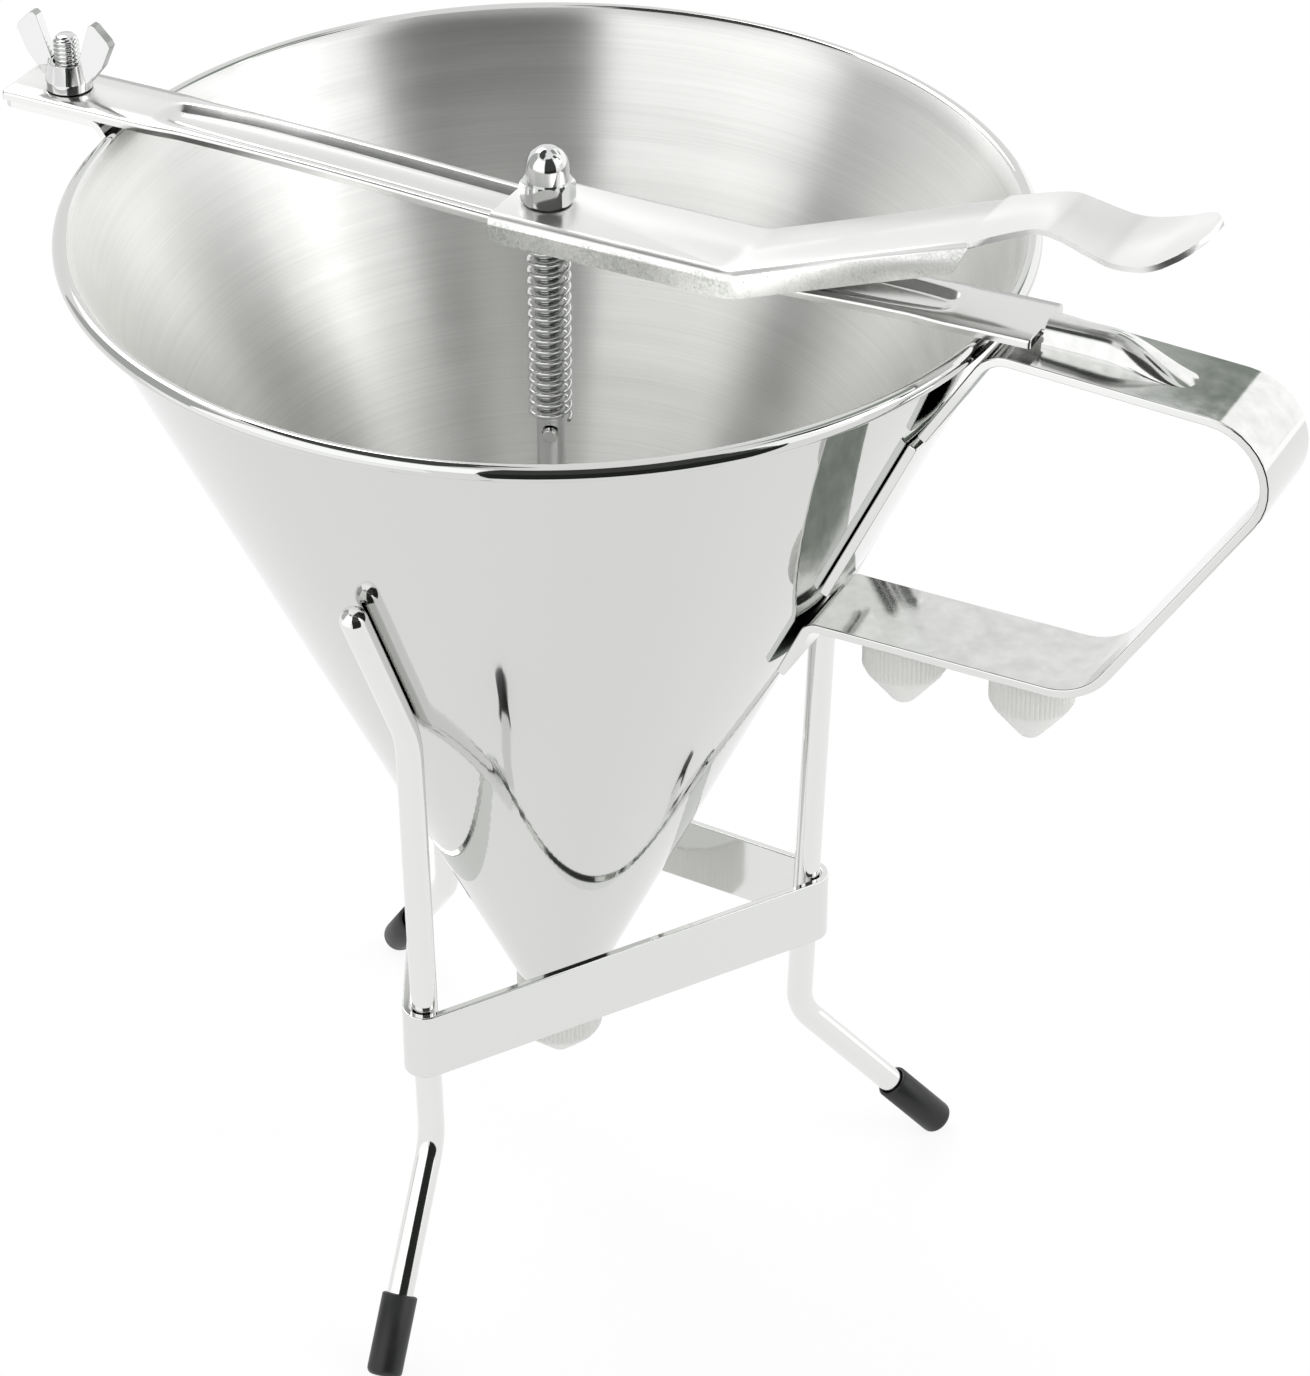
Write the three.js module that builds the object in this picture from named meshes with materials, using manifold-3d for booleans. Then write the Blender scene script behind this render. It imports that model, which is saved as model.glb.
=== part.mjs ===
// Piston funnel: a steel cone hangs in a three-legged stand, and a lever on its crossbar lifts a sprung
// piston out of a screw-on nozzle. Millimetres, +Z up. The part is drawn about the cone's axis, with heights
// measured from the middle of the rolled rim, and is then set with its origin on the table, under the middle
// of its length.
import * as THREE from 'three';
import { mergeVertices } from 'three/addons/utils/BufferGeometryUtils.js';
import Module from 'manifold-3d';

const wasm = await Module();
wasm.setup();

// What all pieces share
const clearance = 0.3; // between pieces that rest on each other or turn in each other
const overrun = 3; // how far a cutter runs past what it cuts
const bendSteps = 6; // flats in each bend of a strip or rod

// Cone of sheet steel with a rolled rim
const mouthRadius = 96.96; // outside of the cone at the rim plane
const rollRadius = 1.74;
const rollOffset = 1.3; // from the cone's mouth out to the middle of the roll
const rimRadius = mouthRadius + rollOffset;
const rollStart = 205; // where the roll's arc starts, in degrees round its middle
const rollTurn = 290;
const rollSteps = 9;
const coneDepth = 189;
const coneEndRadius = 9.73;
const coneWall = 0.9;
const coneSides = 72;

// Threaded outlet and the nozzle screwed on it
const outletRadius = 6.5;
const outletBore = 4.5;
const outletLength = 14;
const seatHeight = 8; // how far the outlet's conical collar reaches up inside the cone
const nozzleRadius = 9.6;
const nozzleLength = 16.2;
const nozzleTaper = 6.5;
const nozzleTip = 3;
const nozzleOrifice = 1.7;
const nozzleRibs = 58;
const ribDepth = 0.4;
const orificeLand = 1; // straight length of each orifice
const tipRoundingShare = 1 / 3; // of the tip's radius
const nozzleHeight = 30; // from the table up to the nozzle's tip
const rimHeight = coneDepth + clearance + nozzleLength + nozzleTaper + nozzleHeight;

// Two smaller spare nozzles on posts under the handle
const spareRadius = 8.9;
const spareLength = 12.3;
const spareTaper = 5;
const spareTip = 2.6;
const spareOrifices = [1.2, 2.1];
const spareRibs = 54;
const postRadius = 6.5;
const postLength = 9;
const spareOffsets = [18.6, 46.9]; // along the handle's lower arm from the cone's side

// Handle bent from one strip
const handleWidth = 22;
const handleSheet = 2;
const handleTabDepth = 21.5; // lower end of the upper tab
const handleArmHeight = 0.2; // middle of the upper arm where it starts
const handleArmTilt = 0.0486; // slope of the upper arm, down and outwards
const handleReach = 70.94; // from the rim out to where the upper arm and the sloping grip would meet
const handleGripSlope = 0.6343; // sideways run of the grip for each unit down
const handleLowerArm = 72.7; // depth of the middle of the lower arm
const handleLowerTabDrop = 13.3; // from the lower arm down to the lower tab's end
const handleLowerTab = handleLowerArm + handleLowerTabDrop;
const handleUpperBend = 7;
const handleGripBend = 13;
const handleLowerBend = 15;
const handleTabBend = 3;
const backingTop = 24;
const backingLift = 8.7; // from the lower arm up to the backing strip
const backingBottom = handleLowerArm - backingLift;

// Hood pressed up out of the upper arm to hold the crossbar's tongue
const hoodStandOff = 11.74; // from the rim to the hood's mouth
const hoodLength = 32.5;
const hoodSlitLength = 23;
const hoodMouth = rimRadius + hoodStandOff;
const hoodEnd = hoodMouth + hoodLength;
const hoodHalfWidth = 8.2;
const hoodSheet = 1.4;
const hoodCorner = 2.6;
const hoodSlitEnd = hoodMouth + hoodSlitLength;
const hoodSlit = 0.8;
const hoodNarrowingShare = 0.45; // of its width, lost by its end
const hoodRows = 9;

// Crossbar with a pressed groove, bowed down a little
const barWidth = 16.8;
const barWaist = 15.5;
const barSheet = 1.5;
const barTop = 4.5;
const barBow = 2.4;
const barBowMiddle = 20;
const barBowReach = rimRadius + rollRadius;
const barLeftReach = 27.94; // how far the bar runs past the rim at its left end
const barRightReach = 10.94; // and at its right end, up to the shoulder of its tongue
const barTongueLength = 12.8;
const barLeftEnd = -rimRadius - barLeftReach;
const barShoulder = rimRadius + barRightReach;
const barTongueEnd = barShoulder + barTongueLength;
const barTongueWidth = 10.4;
const barEndRounding = 2.5;
const barLip = 0.45;
const barLipWidth = 1.2;
const grooveLeftInset = 12.26; // from the rim to the groove's ends
const grooveRightInset = 7.26;
const grooveStart = grooveLeftInset - rimRadius;
const grooveEnd = rimRadius - grooveRightInset;
const grooveWidth = 9;
const grooveFloor = 6;
const grooveDepth = 0.8;
const grooveRamp = 9;
const barRows = 40;

// Bracket, stud and wing nut that clamp the bar's left end
const bracketSheet = 1.5;
const bracketTabDepth = 17;
const bracketBend = 2.5;
const studInset = 11.7; // from the bar's left end
const studHeight = 12; // above the bar
const studPlace = barLeftEnd + studInset;
const studRadius = 2.8;
const studTop = barTop + studHeight;
const studChamfer = 0.6;
const wingHubRadius = 5;
const wingHubTopRadius = 4.15;
const wingHubHeight = 6;
const wingReach = 11.6;
const wingRise = 15.9;
const wingThickness = 2.2;
const wingSkirtShare = 1 / 3; // straight part of the hub's height
const wingShares = [[0.28, 0.06], [0.5, 0.13], [0.8, 0.4], [1, 0.73], [0.95, 0.8], [0.7, 0.98], [0.62, 1],
  [0.55, 0.96], [0.28, 0.37]];

// Lever folded from sheet: a channel with a flat thumb rest
const leverSheet = 1.2;
const leverWidth = 22;
const leverFold = 2;
const leverGap = 1.3; // between its web and the lowest part of the bar
const leverTop = barTop - barBow + leverGap + leverSheet;
const leverFlange = 5.8;
const leverStart = -8;
const leverRampInset = 2.26; // from the rim in to where the thumb rest starts
const leverRamp = rimRadius - leverRampInset;
const leverBendShare = 0.46875; // of the way there, level
const leverBend = leverBendShare * leverRamp;
const leverBendRadius = 10;
const leverSlope = 20.43; // of the raised part, in degrees
const leverRise = (leverRamp - leverBend) * Math.tan(THREE.MathUtils.degToRad(leverSlope));
const leverCornerRounding = 2.5;
const leverFlangeEnd = 5; // how far the slanted flange ends run back
const slotStart = -5.6;
const slotEnd = 3.4;
const slotWidth = 6.8;
const thumbLength = 45.6;
const thumbRise = 9.4;
const thumbHalfWidth = 11.5;
const thumbShares = [[0, 0], [0.17, 0.35], [0.3, 0.56], [0.4, 0.52], [0.56, 0.33], [0.66, 0.3], [0.8, 0.45],
  [0.91, 0.73], [1, 1]];
const thumbWidthShares = [[-0.02, 0.77], [0, 0.95], [0.13, 0.83], [0.27, 0.74], [0.42, 0.75], [0.56, 0.82],
  [0.68, 0.93], [0.78, 1], [0.86, 0.97], [0.93, 0.82], [0.97, 0.6], [1, 0.3]];
const thumbRows = 26;

// Fulcrum: a pin welded between the lever's flanges, held in a saddle under the bar
const pivotInset = 3; // from the lever's bend towards the piston
const pivotPlace = leverBend - pivotInset;
const pivotRadius = 1.5;
const lugHalfLength = 3.3;
const lugHalfWidth = 6;
const lugDepth = 3.8; // underside of the saddle below the rim plane

// Piston: rod, dome nut, cross pin, return spring and stopper
const rodRadius = 3;
const rodRise = 9.4; // how far the rod reaches up into the dome nut
const rodReach = 10; // how far it runs past the end of the cone
const rodTop = leverTop + rodRise;
const rodBottom = coneDepth + rodReach;
const rodSpigot = 1.5;
const rodSpigotLength = 4;
const nutAcrossFlats = 10;
const nutHexHeight = 4.8;
const nutDomeRadius = 4.5;
const nutHeight = 12.1;
const nutAzimuth = -61.6;
const pinRadius = 1.5;
const pinLength = 9.6;
const pinDepth = 48;
const pinAzimuth = -66;
const springRadius = 4.2; // to the middle of the wire
const springWire = 0.5;
const springEndPitch = 1.5;
const springCoils = 18;
const springSteps = 8;
const springSides = 5;
const stopperTip = 1.2; // how far the stopper ends above the nozzle's orifice land

// Stand: three bent rods, a band round them and rubber caps
const legRadius = 2.9;
const legAzimuth = -93.05;
const legTopDepth = 53.7;
const legBendDepth = 92.5;
const legHeelHeight = 41; // from the table up to the lower bend
const legFootDepth = rimHeight - legHeelHeight;
const legLean = 3.49; // how far the lower bend stands in from the knee
const legFootAngle = 41; // of each foot from upright
const legFootTwists = [12.5, 12.5, -5.5]; // how far each foot is turned from straight outwards
const legBendRadius = 25;
const legFootBend = 12;
const legSides = 12;
const legSteps = 34;
const bandRise = 37.6; // from the legs' lower bends up to the band's top
const bandTopDepth = legFootDepth - bandRise;
const bandHeight = 16.2;
const bandSheet = 1.6;
const capRadius = 3.9;
const capLength = 18;
const capEnd = 1.8; // rubber beyond the end of the rod
const capRounding = 1.5;
const capFlat = 0.6; // how much of the cap's edge is worn flat where it stands

// Rounds used for turned pieces
const largeSides = 32;
const smallSides = 20;

const steel = { color: 0xd6d8d8, metalness: 1, roughness: 0.2 };
const brushed = { color: 0xc6c8c8, metalness: 1, roughness: 0.35 };
const plastic = { color: 0xe9e9e6, metalness: 0, roughness: 0.45 };
const rubber = { color: 0x1f1f20, metalness: 0, roughness: 0.7 };

const at = (x, z) => new THREE.Vector2(x, z);
const radians = THREE.MathUtils.degToRad;
const leftOf = (heading) => at(-Math.sin(heading), Math.cos(heading));
const toPoints = (pairs) => pairs.map(([x, z]) => at(x, z));

// Outer radius of the cone at a height from the rim plane, and what a thickness measures sideways there.
const apexDepth = coneDepth * mouthRadius / (mouthRadius - coneEndRadius);
const coneRadius = (z) => mouthRadius * (1 + z / apexDepth);
const coneAngle = Math.atan2(mouthRadius, apexDepth);
const sideways = (thickness) => thickness / Math.cos(coneAngle);

// A closed geometry as a solid that can be joined and cut.
function solidOf(geometry) {
  geometry.deleteAttribute('normal');
  geometry.deleteAttribute('uv');
  const merged = mergeVertices(geometry);
  const corners = [];
  for (let i = 0; i < merged.index.count; i += 3) {
    const [a, b, c] = [0, 1, 2].map((k) => merged.index.getX(i + k));
    if (a !== b && b !== c && c !== a) corners.push(a, b, c);
  }
  return new wasm.Manifold(new wasm.Mesh({
    numProp: 3,
    vertProperties: new Float32Array(merged.attributes.position.array),
    triVerts: new Uint32Array(corners),
  }));
}

function geometryOf(solid) {
  const mesh = solid.getMesh();
  const geometry = new THREE.BufferGeometry();
  geometry.setAttribute('position', new THREE.BufferAttribute(mesh.vertProperties, 3));
  geometry.setIndex(new THREE.BufferAttribute(mesh.triVerts, 1));
  geometry.computeVertexNormals();
  return geometry;
}

function piece(name, solid, look) {
  const mesh = new THREE.Mesh(geometryOf(solid), new THREE.MeshStandardMaterial(look));
  mesh.name = name;
  return mesh;
}

const fuse = (solids) => solids.reduce((sum, next) => sum.add(next));
const moved = (solid, x, y, z) => solid.translate([x, y, z]);

// A profile of radius and height points, turned about Z.
function turned(profile, sides) {
  const geometry = new THREE.LatheGeometry(toPoints([...profile, profile[0]]), sides);
  return solidOf(geometry.rotateX(Math.PI / 2));
}

// A cylinder about Z between two heights.
const post = (radius, bottom, top, sides = smallSides) => turned([[0, bottom], [radius, bottom], [radius, top],
  [0, top]], sides);

// An outline in X and Z, as thick as width along Y and centred on it.
function crosswise(outline, width) {
  const geometry = new THREE.ExtrudeGeometry(new THREE.Shape(outline), { depth: width, bevelEnabled: false });
  return solidOf(geometry.rotateX(Math.PI / 2).translate(0, width / 2, 0));
}

// An outline in X and Y, standing between two heights, with any holes.
function upright(outline, bottom, top, holes = []) {
  const shape = new THREE.Shape(outline);
  shape.holes = holes.map((hole) => new THREE.Path(hole));
  const geometry = new THREE.ExtrudeGeometry(shape, { depth: top - bottom, bevelEnabled: false });
  return solidOf(geometry.translate(0, 0, bottom));
}

// The arc that rounds one corner of a path, as points with the direction of travel.
function roundedCorner(before, corner, after, radius) {
  const arriving = corner.clone().sub(before);
  const leaving = after.clone().sub(corner);
  const turn = Math.atan2(arriving.cross(leaving), arriving.dot(leaving));
  const inward = leftOf(arriving.angle()).multiplyScalar(radius * Math.sign(turn));
  const setback = arriving.clone().setLength(radius * Math.tan(Math.abs(turn) / 2));
  const centre = corner.clone().sub(setback).add(inward);
  return Array.from({ length: bendSteps + 1 }, (_, k) => {
    const heading = arriving.angle() + turn * k / bendSteps;
    const outward = leftOf(heading).multiplyScalar(-radius * Math.sign(turn));
    return { point: centre.clone().add(outward), heading };
  });
}

// A path through corners, with each inner corner bent to its radius.
function bentPath(corners, radii) {
  const last = corners.length - 1;
  const bends = radii.flatMap((radius, i) => roundedCorner(corners[i], corners[i + 1], corners[i + 2], radius));
  return [
    { point: corners[0], heading: corners[1].clone().sub(corners[0]).angle() },
    ...bends,
    { point: corners[last], heading: corners[last].clone().sub(corners[last - 1]).angle() },
  ];
}

// A closed outline with every corner rounded alike.
function softOutline(corners, radius) {
  const count = corners.length;
  return corners.flatMap((corner, i) => roundedCorner(corners[(i + count - 1) % count], corner,
    corners[(i + 1) % count], radius).map((step) => step.point));
}

// A strip of sheet bent along the middle of its thickness.
function bentStrip(corners, radii, sheet, width) {
  const steps = bentPath(corners, radii);
  const side = (reach) => steps.map((step) => step.point.clone().add(leftOf(step.heading).multiplyScalar(reach)));
  return crosswise([...side(-sheet / 2), ...side(sheet / 2).reverse()], width);
}

// Where the line through p at one angle meets the line through q at another.
function crossing(p, pAngle, q, qAngle) {
  const way = at(Math.cos(pAngle), Math.sin(pAngle));
  const other = at(Math.cos(qAngle), Math.sin(qAngle));
  const share = q.clone().sub(p).cross(other) / way.cross(other);
  return p.clone().add(way.multiplyScalar(share));
}

// Rings of equal length joined in order, with the given triangles closing both ends.
function loft(rings, capTriangles) {
  const count = rings[0].length;
  const corners = [];
  rings.slice(1).forEach((ring, i) => {
    const start = i * count;
    for (let j = 0; j < count; j += 1) {
      const next = (j + 1) % count;
      corners.push(start + j, start + next, start + count + next, start + j, start + count + next, start + count + j);
    }
  });
  const end = (rings.length - 1) * count;
  capTriangles.forEach(([a, b, c]) => corners.push(a, c, b, end + a, end + b, end + c));
  const geometry = new THREE.BufferGeometry();
  geometry.setAttribute('position', new THREE.Float32BufferAttribute(rings.flat().flatMap((p) => p.toArray()), 3));
  geometry.setIndex(corners);
  return solidOf(geometry);
}

// A sheet given by rows of paired lower and upper points, each row running across it from right to left of travel.
function sheetOf(rows) {
  const pairs = rows[0].lower.length;
  const caps = [];
  for (let k = 0; k + 1 < pairs; k += 1) {
    const [upper, upperNext] = [2 * pairs - 1 - k, 2 * pairs - 2 - k];
    caps.push([k, k + 1, upperNext], [k, upperNext, upper]);
  }
  return loft(rows.map((row) => [...row.lower, ...row.upper.slice().reverse()]), caps);
}

// A value from a table of shares, straight between its entries.
function shareAt(table, share) {
  const found = table.findIndex(([place]) => place >= share);
  const next = found < 0 ? table.length - 1 : Math.max(1, found);
  const [[x0, y0], [x1, y1]] = [table[next - 1], table[next]];
  return y0 + (y1 - y0) * (share - x0) / (x1 - x0);
}

// Rolled sheet cone, open at its outlet.
function funnelCone() {
  const inner = (z) => coneRadius(z) - sideways(coneWall);
  const roll = Array.from({ length: rollSteps + 1 }, (_, k) => {
    const angle = radians(rollStart + rollTurn * k / rollSteps);
    return [rimRadius + rollRadius * Math.cos(angle), rollRadius * Math.sin(angle)];
  });
  return turned([[coneRadius(-coneDepth), -coneDepth], ...roll, [inner(-rollRadius), -rollRadius],
    [inner(-coneDepth), -coneDepth]], coneSides);
}

// Outlet: a threaded neck below the cone and a conical collar seated inside it.
function outletFerrule() {
  const seat = (z) => coneRadius(z) - sideways(coneWall + clearance);
  const bottom = -coneDepth - outletLength;
  const shoulder = -coneDepth;
  const top = shoulder + seatHeight;
  return turned([[outletBore, bottom], [outletRadius, bottom], [outletRadius, shoulder], [seat(shoulder), shoulder],
    [seat(top), top], [outletBore, shoulder + outletBore]], largeSides);
}

// Inner cone of a nozzle, from its throat down to the orifice.
const nozzleTop = -coneDepth - clearance;
const nozzleThroat = -coneDepth - outletLength - clearance;
const nozzleFloor = nozzleTop - nozzleLength - nozzleTaper;
const innerCone = (z) => nozzleOrifice + (outletBore - nozzleOrifice) * (z - nozzleFloor - orificeLand)
  / (nozzleThroat - nozzleFloor - orificeLand);

// A ribbed cap nut with a tapered tip, its top at zero height.
function nozzle({ radius, length, taper, tip, orifice, bore, boreDepth, throat, ribs }) {
  const bottom = -length - taper;
  const core = radius - ribDepth;
  const tipRounding = tip * tipRoundingShare;
  const body = turned([[0, bottom], [tip - tipRounding, bottom], [tip, bottom + tipRounding], [core, -length],
    [core, 0], [0, 0]], largeSides);
  const rib = Array.from({ length: 2 * ribs }, (_, k) => {
    const reach = k % 2 ? radius : core - ribDepth / 2;
    const angle = Math.PI * k / ribs;
    return at(reach * Math.cos(angle), reach * Math.sin(angle));
  });
  const sleeve = upright(rib, -length + ribDepth, -ribDepth);
  const inside = turned([[0, bottom - overrun], [orifice, bottom - overrun], [orifice, bottom + orificeLand],
    [throat, -boreDepth], [bore, -boreDepth], [bore, overrun], [0, overrun]], largeSides);
  return body.add(sleeve).subtract(inside);
}

const mainNozzle = () => moved(nozzle({
  radius: nozzleRadius,
  length: nozzleLength,
  taper: nozzleTaper,
  tip: nozzleTip,
  orifice: nozzleOrifice,
  bore: outletRadius + clearance,
  boreDepth: nozzleTop - nozzleThroat,
  throat: outletBore,
  ribs: nozzleRibs,
}), 0, 0, nozzleTop);

// Underside of the handle's lower arm, where the spare nozzles hang, and their places along it.
const shelf = -handleLowerArm - handleSheet / 2;
const sparePlaces = spareOffsets.map((offset) => coneRadius(-handleLowerArm) + offset);

const spareNozzle = (index) => moved(nozzle({
  radius: spareRadius,
  length: spareLength,
  taper: spareTaper,
  tip: spareTip,
  orifice: spareOrifices[index],
  bore: postRadius + clearance,
  boreDepth: postLength + clearance,
  throat: postRadius - clearance,
  ribs: spareRibs,
}), sparePlaces[index], 0, shelf - clearance);

const nozzlePost = (index) => moved(post(postRadius, -postLength, 0, largeSides), sparePlaces[index], 0,
  shelf - clearance);

// Steepness of a straight tab that leaves the cone at a depth and just clears the rolled rim.
function tabAngle(foot) {
  const toRoll = at(rimRadius, 0).sub(foot);
  return toRoll.angle() - Math.asin((rollRadius + clearance) / toRoll.length());
}

// Corners of a tab from its foot on the cone to a level arm outside the rim.
function tabCorners(depth, sheet, armHeight, armAngle) {
  const foot = at(coneRadius(-depth) + sideways(clearance), -depth);
  const angle = tabAngle(foot);
  const middle = foot.clone().add(leftOf(angle).multiplyScalar(-sheet / 2));
  return [middle, crossing(middle, angle, at(rimRadius, armHeight), armAngle)];
}

const armTiltAngle = -Math.atan(handleArmTilt);
const armHeightAt = (x) => handleArmHeight - handleArmTilt * (x - rimRadius);

// Handle: upper tab, upper arm with its hood, sloping grip, lower arm and lower tab.
function handleStrip() {
  const gripAngle = Math.atan2(-1, -handleGripSlope);
  const slope = Math.PI + Math.PI / 2 - coneAngle;
  const grip = rimRadius + handleReach;
  const gripTop = at(grip, armHeightAt(grip));
  const gripBottom = crossing(gripTop, gripAngle, at(0, -handleLowerArm), 0);
  const lowerFoot = at(coneRadius(-handleLowerTab) + sideways(clearance + handleSheet / 2), -handleLowerTab);
  const lowerTurn = crossing(lowerFoot, slope, at(0, -handleLowerArm), 0);
  const corners = [...tabCorners(handleTabDepth, handleSheet, handleArmHeight, armTiltAngle), gripTop, gripBottom,
    lowerTurn, lowerFoot];
  const strip = bentStrip(corners, [handleUpperBend, handleGripBend, handleLowerBend, handleTabBend], handleSheet,
    handleWidth);
  return strip.subtract(hoodWindow()).add(hood());
}

// Opening left in the arm under the hood, wide where its sides are slit and narrow where they join.
function hoodWindow() {
  const open = hoodHalfWidth + hoodSlit;
  const joined = hoodHalfWidth - hoodSheet;
  const tail = hoodSlitEnd + (hoodEnd - hoodSlitEnd) / 2;
  const outline = toPoints([[hoodMouth, -open], [hoodSlitEnd, -open * hoodWidthAt(hoodSlitEnd)],
    [hoodSlitEnd, -joined * hoodWidthAt(hoodSlitEnd)], [tail, -joined * hoodWidthAt(tail)],
    [tail, joined * hoodWidthAt(tail)], [hoodSlitEnd, joined * hoodWidthAt(hoodSlitEnd)],
    [hoodSlitEnd, open * hoodWidthAt(hoodSlitEnd)], [hoodMouth, open]]);
  return upright(outline, armHeightAt(hoodEnd) - overrun, armHeightAt(hoodMouth) + overrun);
}

// The hood narrows along its length.
function hoodWidthAt(x) {
  return 1 - hoodNarrowingShare * ((x - hoodMouth) / (hoodEnd - hoodMouth)) ** 2;
}

// Hood: level over the crossbar's tongue, then sinking into the arm.
function hood() {
  const ceiling = barTop + clearance;
  const level = barTongueEnd + clearance;
  const skirt = handleSheet / 4;
  const rows = Array.from({ length: hoodRows }, (_, i) => {
    const share = i / (hoodRows - 1);
    const x = hoodMouth + (hoodEnd - hoodMouth) * share;
    const base = armHeightAt(x) + skirt;
    const fall = Math.max(0, (x - level) / (hoodEnd - level));
    const rise = (ceiling + hoodSheet - base) * (1 + Math.cos(Math.PI * fall)) / 2 + skirt * fall;
    const half = hoodHalfWidth * hoodWidthAt(x);
    const arch = (reach, height, corner) => {
      const squash = Math.min(1, height / corner);
      const arc = [0, 30, 60, 90].map(radians).map((angle) => [reach - corner + corner * Math.cos(angle),
        height - corner * squash + corner * squash * Math.sin(angle)]);
      const side = [[reach, 0], ...arc.slice(height > corner ? 0 : 1)];
      const right = side.length < 5 ? [[reach, 0], [reach, height / 8], ...arc.slice(1)] : side;
      return [...right.map(([y, z]) => [-y, z]), ...right.slice().reverse()];
    };
    const point = ([y, z]) => new THREE.Vector3(x, y, base + z);
    const thin = Math.min(hoodSheet, rise / 2);
    return {
      lower: arch(half - hoodSheet, rise - thin, hoodCorner - hoodSheet / 2).map(point),
      upper: arch(half, rise, hoodCorner).map(point),
    };
  });
  return sheetOf(rows);
}

// Flat strip lying on the cone between the handle's two tabs.
function handleBackingStrip() {
  const middle = (depth) => at(coneRadius(-depth) + sideways(clearance + handleSheet / 2), -depth);
  return bentStrip([middle(backingTop), middle(backingBottom)], [], handleSheet, handleWidth);
}

// Bracket under the bar's left end, bent down outside the rim and welded to the cone.
function barBracket() {
  const middle = barTop - barSheet - clearance - bracketSheet / 2;
  const [foot, turn] = tabCorners(bracketTabDepth, bracketSheet, middle, 0);
  const strip = bentStrip([foot, turn, at(-barLeftEnd, middle)], [bracketBend], bracketSheet, barWidth);
  const hole = moved(post(studRadius + clearance, middle - overrun, middle + overrun), -studPlace, 0, 0);
  return strip.intersect(roundedEnd()).subtract(hole).mirror([1, 0, 0]);
}

// Plan of the bar's left end, mirrored to positive X, for the bracket to share its rounded corners.
function roundedEnd() {
  const corners = toPoints([[0, -barWidth / 2], [-barLeftEnd, -barWidth / 2], [-barLeftEnd, barWidth / 2],
    [0, barWidth / 2]]);
  return upright(softOutline(corners, barEndRounding), -rimHeight, rimHeight);
}

function bracketStud() {
  const bottom = barTop - barSheet - clearance - bracketSheet;
  return moved(turned([[0, bottom], [studRadius, bottom], [studRadius, studTop - studChamfer],
    [studRadius - studChamfer, studTop], [0, studTop]], smallSides), studPlace, 0, 0);
}

// Wing nut: a tapered hub and two flat wings that lean outwards along the bar.
function wingNut() {
  const hub = turned([[0, 0], [wingHubRadius, 0], [wingHubRadius, wingHubHeight * wingSkirtShare],
    [wingHubTopRadius, wingHubHeight], [0, wingHubHeight]], largeSides);
  const wing = crosswise(toPoints(wingShares.map(([x, z]) => [x * wingReach, z * wingRise])), wingThickness);
  const hole = post(studRadius + clearance, -overrun, wingHubHeight + overrun);
  const nut = fuse([hub, wing, wing.mirror([1, 0, 0])]).subtract(hole);
  return moved(nut, studPlace, 0, barTop + clearance);
}

// Height of the bar's upper side along its length.
function barHeightAt(x) {
  const share = Math.min(1, Math.abs(x - barBowMiddle) / barBowReach);
  return barTop - barBow * (1 + Math.cos(Math.PI * share)) / 2;
}

// How far in the pressed shape is: 0 at the plain ends, 1 along the groove.
function grooveShareAt(x) {
  const inside = Math.min(x - grooveStart, grooveEnd - x) / grooveRamp;
  return THREE.MathUtils.smoothstep(inside, 0, 1);
}

// Crossbar: groove along the middle, edges turned down beside it, and a narrow tongue at the right end.
function crossbar() {
  const length = barTongueEnd - barLeftEnd;
  const rows = Array.from({ length: barRows + 1 }, (_, i) => {
    const x = barLeftEnd + length * i / barRows;
    const top = barHeightAt(x);
    const pressed = grooveShareAt(x);
    const half = (barWidth + (barWaist - barWidth) * pressed) / 2;
    const lip = barLip * pressed;
    const groove = grooveDepth * pressed;
    const across = [[-half, lip, 0], [barLipWidth - half, 0, 0], [-grooveWidth / 2, 0, 0],
      [-grooveFloor / 2, 0, groove], [grooveFloor / 2, 0, groove], [grooveWidth / 2, 0, 0],
      [half - barLipWidth, 0, 0], [half, lip, 0]];
    return {
      lower: across.map(([y, down]) => new THREE.Vector3(x, y, top - barSheet - down)),
      upper: across.map(([y, down, sunk]) => new THREE.Vector3(x, y, top - down - sunk)),
    };
  });
  const plan = softOutline(toPoints([[barLeftEnd, -barWidth / 2], [barShoulder, -barWidth / 2],
    [barShoulder, barWidth / 2], [barLeftEnd, barWidth / 2]]), barEndRounding);
  const tongue = toPoints([[0, -barTongueWidth / 2], [barTongueEnd, -barTongueWidth / 2],
    [barTongueEnd, barTongueWidth / 2], [0, barTongueWidth / 2]]);
  const low = barTop - barBow - barSheet - overrun;
  const outline = upright(plan, low, barTop + overrun).add(upright(tongue, low, barTop + overrun));
  const rodHole = post(rodRadius + clearance, low, barTop + overrun);
  const studHole = moved(post(studRadius + clearance, low, barTop + overrun), studPlace, 0, 0);
  return sheetOf(rows).intersect(outline).subtract(rodHole).subtract(studHole);
}

// The pin runs just under the bar's turned-down edges.
const pivotHeight = barHeightAt(pivotPlace) - barSheet - barLip - clearance - pivotRadius;

// A round bar across the part, along Y.
function crossRod(radius, length, x, z) {
  const rod = post(radius, -length / 2, length / 2);
  return moved(rod.rotate([90, 0, 0]), x, 0, z);
}

// Saddle under the bar that holds the fulcrum pin from below.
function fulcrumLug() {
  const top = barHeightAt(pivotPlace) - barSheet - clearance;
  const corners = toPoints([[pivotPlace - lugHalfLength, -lugDepth], [pivotPlace + lugHalfLength, -lugDepth],
    [pivotPlace + lugHalfLength, top], [pivotPlace - lugHalfLength, top]]);
  const block = crosswise(corners, 2 * lugHalfWidth);
  return block.subtract(crossRod(pivotRadius + clearance, 2 * lugHalfWidth + overrun, pivotPlace, pivotHeight));
}

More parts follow.
